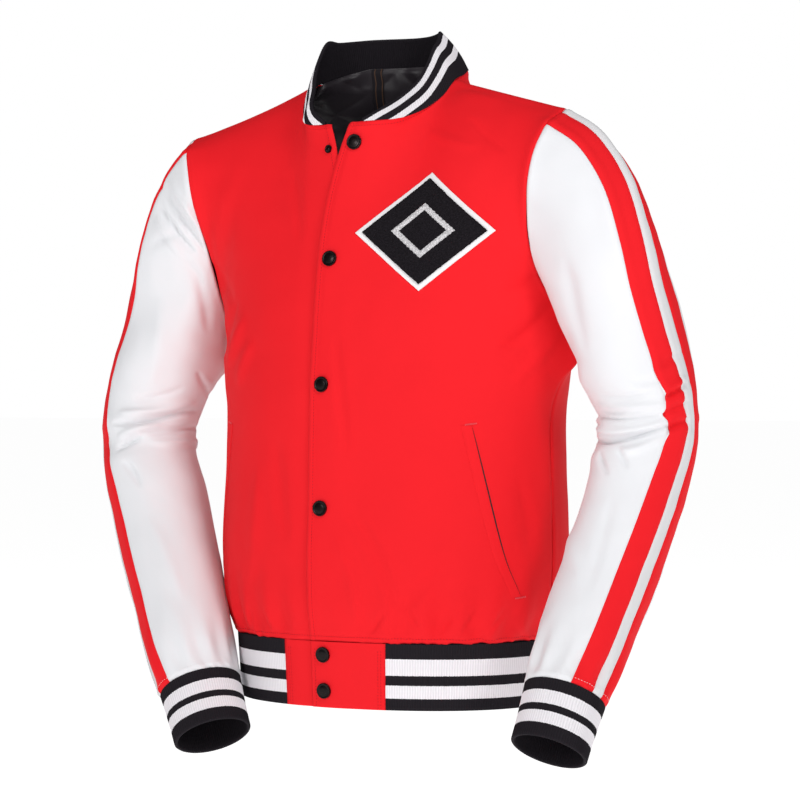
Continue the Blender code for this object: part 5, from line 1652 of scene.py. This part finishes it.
front_columns = spread(0, form.grids["front_left"].shape[1] - 1, COLUMNS_PER_STEP)
centre_left = nearest(front_columns, LAP_STEPS)
centre_right = nearest(front_columns, COLUMNS)
for index, height in enumerate(SNAP_HEIGHTS):
    on_shell = index < SHELL_SNAPS
    cloth = panels["front_left"] if on_shell else (hem_left, form.normals["hem_front_left"])
    column = centre_left if on_shell else LAP_STEPS
    points, ways = section(*cloth, height)
    turned_cap(f"snap_{index + 1}", points[column], unit(ways[column]), SNAP_RADIUS, SNAP_THICK * SNAP_SHOWN,
               0.18)
points, ways = section(*panels["front_right"], STUD_HEIGHT)
turned_cap("snap_stud", points[centre_right], unit(ways[centre_right]), STUD_RADIUS, STUD_THICK, 0.25)
print("snaps:", len(SNAP_HEIGHTS), "caps and a stud")

# %% [markdown]
# ## Pockets and stitches
# The welt is a narrow folded strip along the slit, proud only at the slit, with a thin black strip of painted
# shadow beside it.
# Stitches are small spindles of thread laid along paths read from the finished cloth, so they follow its
# gathers and curves.


# %%
# Section of a welt: share of its width from the slit, and height. Then the painted shadow's, across the slit.
WELT_PROFILE = ((1.0, 0.05), (0.97, 0.4), (0.6, 0.5), (0.25, 0.75), (0.04, 1.0), (0.0, 0.85), (0.0, 0.1))
WELT_SHADOW_PROFILE = (-0.35, 0.0, 0.5, 1.0)
WELT_SHADOW_WIDE = 1.7
WELT_SHADOW_LIFT = 0.22
WELT_LIFT = 0.1
STITCH_LIFT = 0.12


def path_at(points, axis, distance, from_end=False):
    """The line this far from a fine grid's first or last border, with the ways out of the cloth."""
    ways = out_of(points)
    if axis == 1:
        points, ways = points.swapaxes(0, 1), ways.swapaxes(0, 1)
    if from_end:
        points, ways = points[::-1], ways[::-1]
    run = steps_along(points, 0)
    line = []
    out = []
    for c in range(points.shape[1]):
        place = float(np.interp(distance, run[:, c], np.arange(len(points))))
        low = min(int(place), len(points) - 2)
        t = place - low
        line.append(points[low, c] * (1.0 - t) + points[low + 1, c] * t)
        out.append(ways[low, c])
    return np.array(line), unit(np.array(out))


def stitched(name, lines, thread, pitch=3.1, long=2.3, thick=0.30):
    """Stitches along each (path, ways) of a list, as one piece."""
    corners = []
    for path, ways in lines:
        run = run_of(path)
        starts = np.arange(1.0, run[-1] - long, pitch)
        a, b = read_at(run, path, starts), read_at(run, path, starts + long)
        way = unit(read_at(run, ways, starts + long / 2.0))
        side = unit(np.cross(b - a, way)) * thick
        middle = (a + b) / 2.0 + way * STITCH_LIFT
        ring = [middle + side, middle + way * thick, middle - side, middle - way * thick]
        corners.append(np.stack([a, *ring, b], axis=1))
    spindles = np.concatenate(corners)
    faces = np.array([(0, 1, 2), (0, 2, 3), (0, 3, 4), (0, 4, 1), (5, 2, 1), (5, 3, 2), (5, 4, 3), (5, 1, 4)])
    every = (faces[None] + 6 * np.arange(len(spindles))[:, None, None]).reshape(-1, 3)
    new_piece(name, spindles.reshape(-1, 3), every[:, ::-1], [thread])


for name, side in SIDES.items():
    panel = "front_" + name
    welt = []
    # Painted shadow: a thin black strip on the cloth beside the slit, where the welt's edge shades it.
    welt_shadow = []
    for t in np.linspace(1.0, 0.0, 45):
        x, height = np.array(WELT_TOP) + (np.array(WELT_FOOT) - np.array(WELT_TOP)) * t
        taper = math.sin(math.pi * t) ** 0.5
        welt.append([above_cloth(panel, x * side, height, -share * WELT_WIDE * side, high + WELT_LIFT)
                     for share, high in WELT_PROFILE])
        welt_shadow.append([above_cloth(panel, x * side, height, share * WELT_SHADOW_WIDE * taper * side, WELT_SHADOW_LIFT)
                    for share in WELT_SHADOW_PROFILE])
    welt = np.array(welt)
    piece = lay_out(f"welt_{name}_cloth", welt, [cloth_finishes["shell_red"]],
                    normals_in=side < 0)
    declare(piece, cut_of(welt), "welt_" + name)
    # The black strip is painted shadow beside the welt.
    lay_out(f"pocket_{name}_gap", np.array(welt_shadow), [thread_black], normals_in=side < 0)
    tacks = []
    for x, height in ((WELT_TOP[0], WELT_TOP[1] + 1.0), (WELT_FOOT[0], WELT_FOOT[1] - 1.0)):
        for k in range(3):
            spots = [place_on(panel, x * side, height + 0.5 * k + aside * 0.12 * side, aside)
                     for aside in (-8.0, 0.0, 7.0)]
            ways = np.array([w for _, w in spots])
            tacks.append((np.array([p for p, _ in spots]) + ways[1] * 0.3, ways))
    stitched(f"pocket_{name}_bartacks", tacks, thread_pink, pitch=1.5, long=2.2, thick=0.35)

# How far the rows of stitches lie from their seams, in mm
SEAM_STITCH = 6.0
EDGE_STITCH = 7.0
TOP_STITCH = 5.0
TAB_STITCH = 8.0
TOP_COLUMNS = 60
hem_lines = [path_at(panels[name][0], 0, SEAM_STITCH) for name in panels]
stitched("hem_stitches", hem_lines, thread_seam)
left, right = panels["front_left"][0], panels["front_right"][0]
edge_lines = [path_at(left, 1, EDGE_STITCH), path_at(right, 1, EDGE_STITCH, True),
              path_at(left[:, :TOP_COLUMNS], 0, TOP_STITCH, True),
              path_at(right[:, -TOP_COLUMNS:], 0, TOP_STITCH, True)]
stitched("front_edge_stitches", edge_lines, thread_seam)
tab_lines = []
for name in SIDES:
    outer = tab_cloths[name][:, 1:-1]
    for from_end, distance in ((False, TOP_STITCH), (True, TOP_STITCH), (name == "left", TAB_STITCH)):
        path, ways = path_at(outer, 1, distance, from_end)
        tab_lines.append((path[1:-2], ways[1:-2]))
stitched("tab_stitches", tab_lines, thread_seam)
for name, ring in sleeve_rings.items():
    loop = np.concatenate([ring, ring[:, :1]], axis=1)
    stitched(f"cuff_{name}_stitches", [path_at(loop, 0, SEAM_STITCH)], thread_white)

# %% [markdown]
# ## Stage, light and camera
# A pale floor under a white sky gives the even light of a studio. Three soft lamps model the creases, one
# on each side of the camera and one above. The camera stands level with the chest, 33 degrees round to the
# wearer's left, three metres away.

# %%
bpy.ops.object.select_all(action="DESELECT")
FLOOR_GLOW = 0.84
SKY_LIGHT = 0.16
bpy.ops.mesh.primitive_plane_add(size=120.0, location=(0.0, 0.0, -0.82))
floor = bpy.context.active_object
floor.name = "floor"
paper, tree, shader = finish("floor_pale", (0.90, 0.90, 0.90), 0.9, gloss=0.0)
shader.inputs["Emission Color"].default_value = (1.0, 1.0, 1.0, 1.0)
shader.inputs["Emission Strength"].default_value = FLOOR_GLOW
floor.data.materials.append(paper)

scene = bpy.context.scene
world = bpy.data.worlds.new("white_sky")
world.use_nodes = True
sky = world.node_tree.nodes["Background"]
sky.inputs["Color"].default_value = (1.0, 1.0, 1.0, 1.0)
seen = add_node(world.node_tree, "ShaderNodeLightPath").outputs["Is Camera Ray"]
feed(world.node_tree, sky.inputs["Strength"], mapped(world.node_tree, seen, SKY_LIGHT, 1.0))
scene.world = world
scene.view_settings.view_transform = "Standard"
scene.view_settings.look = "None"


def soft_lamp(name, place, target, size, watts):
    """A square area light that faces a point."""
    data = bpy.data.lights.new(name, "AREA")
    data.size = size
    data.energy = watts
    lamp = bpy.data.objects.new(name, data)
    lamp.location = place
    lamp.rotation_mode = "QUATERNION"
    lamp.rotation_quaternion = (Vector(target) - Vector(place)).to_track_quat("-Z", "Y")
    scene.collection.objects.link(lamp)


CHEST = (0.0, 0.0, -0.30)
SENSOR_WIDE = 36.0
soft_lamp("right_box", (2.6, -1.3, 1.0), CHEST, 0.7, 26.0)
soft_lamp("left_box", (-0.1, -2.85, 0.5), CHEST, 0.7, 20.0)
soft_lamp("top_box", (0.9, -1.4, 2.0), CHEST, 0.6, 16.0)

turn = math.radians(CAMERA_TURN)
camera_data = bpy.data.cameras.new("camera")
camera_data.lens = CAMERA_F / (2.0 * PICTURE_MIDDLE) * SENSOR_WIDE
camera = bpy.data.objects.new("camera", camera_data)
aside = (PICTURE_MIDDLE - AXIS_X) / CAMERA_F * CAMERA_FAR * MM
offset = Vector((math.cos(turn), math.sin(turn), 0.0)) * aside
level = -LEVEL_BELOW_ORIGIN * MM
camera.location = Vector((math.sin(turn), -math.cos(turn), 0.0)) * CAMERA_FAR * MM
camera.location.z = level
camera.rotation_mode = "QUATERNION"
camera.rotation_quaternion = (offset + Vector((0.0, 0.0, level)) - camera.location).to_track_quat("-Z", "Y")
scene.collection.objects.link(camera)
scene.camera = camera
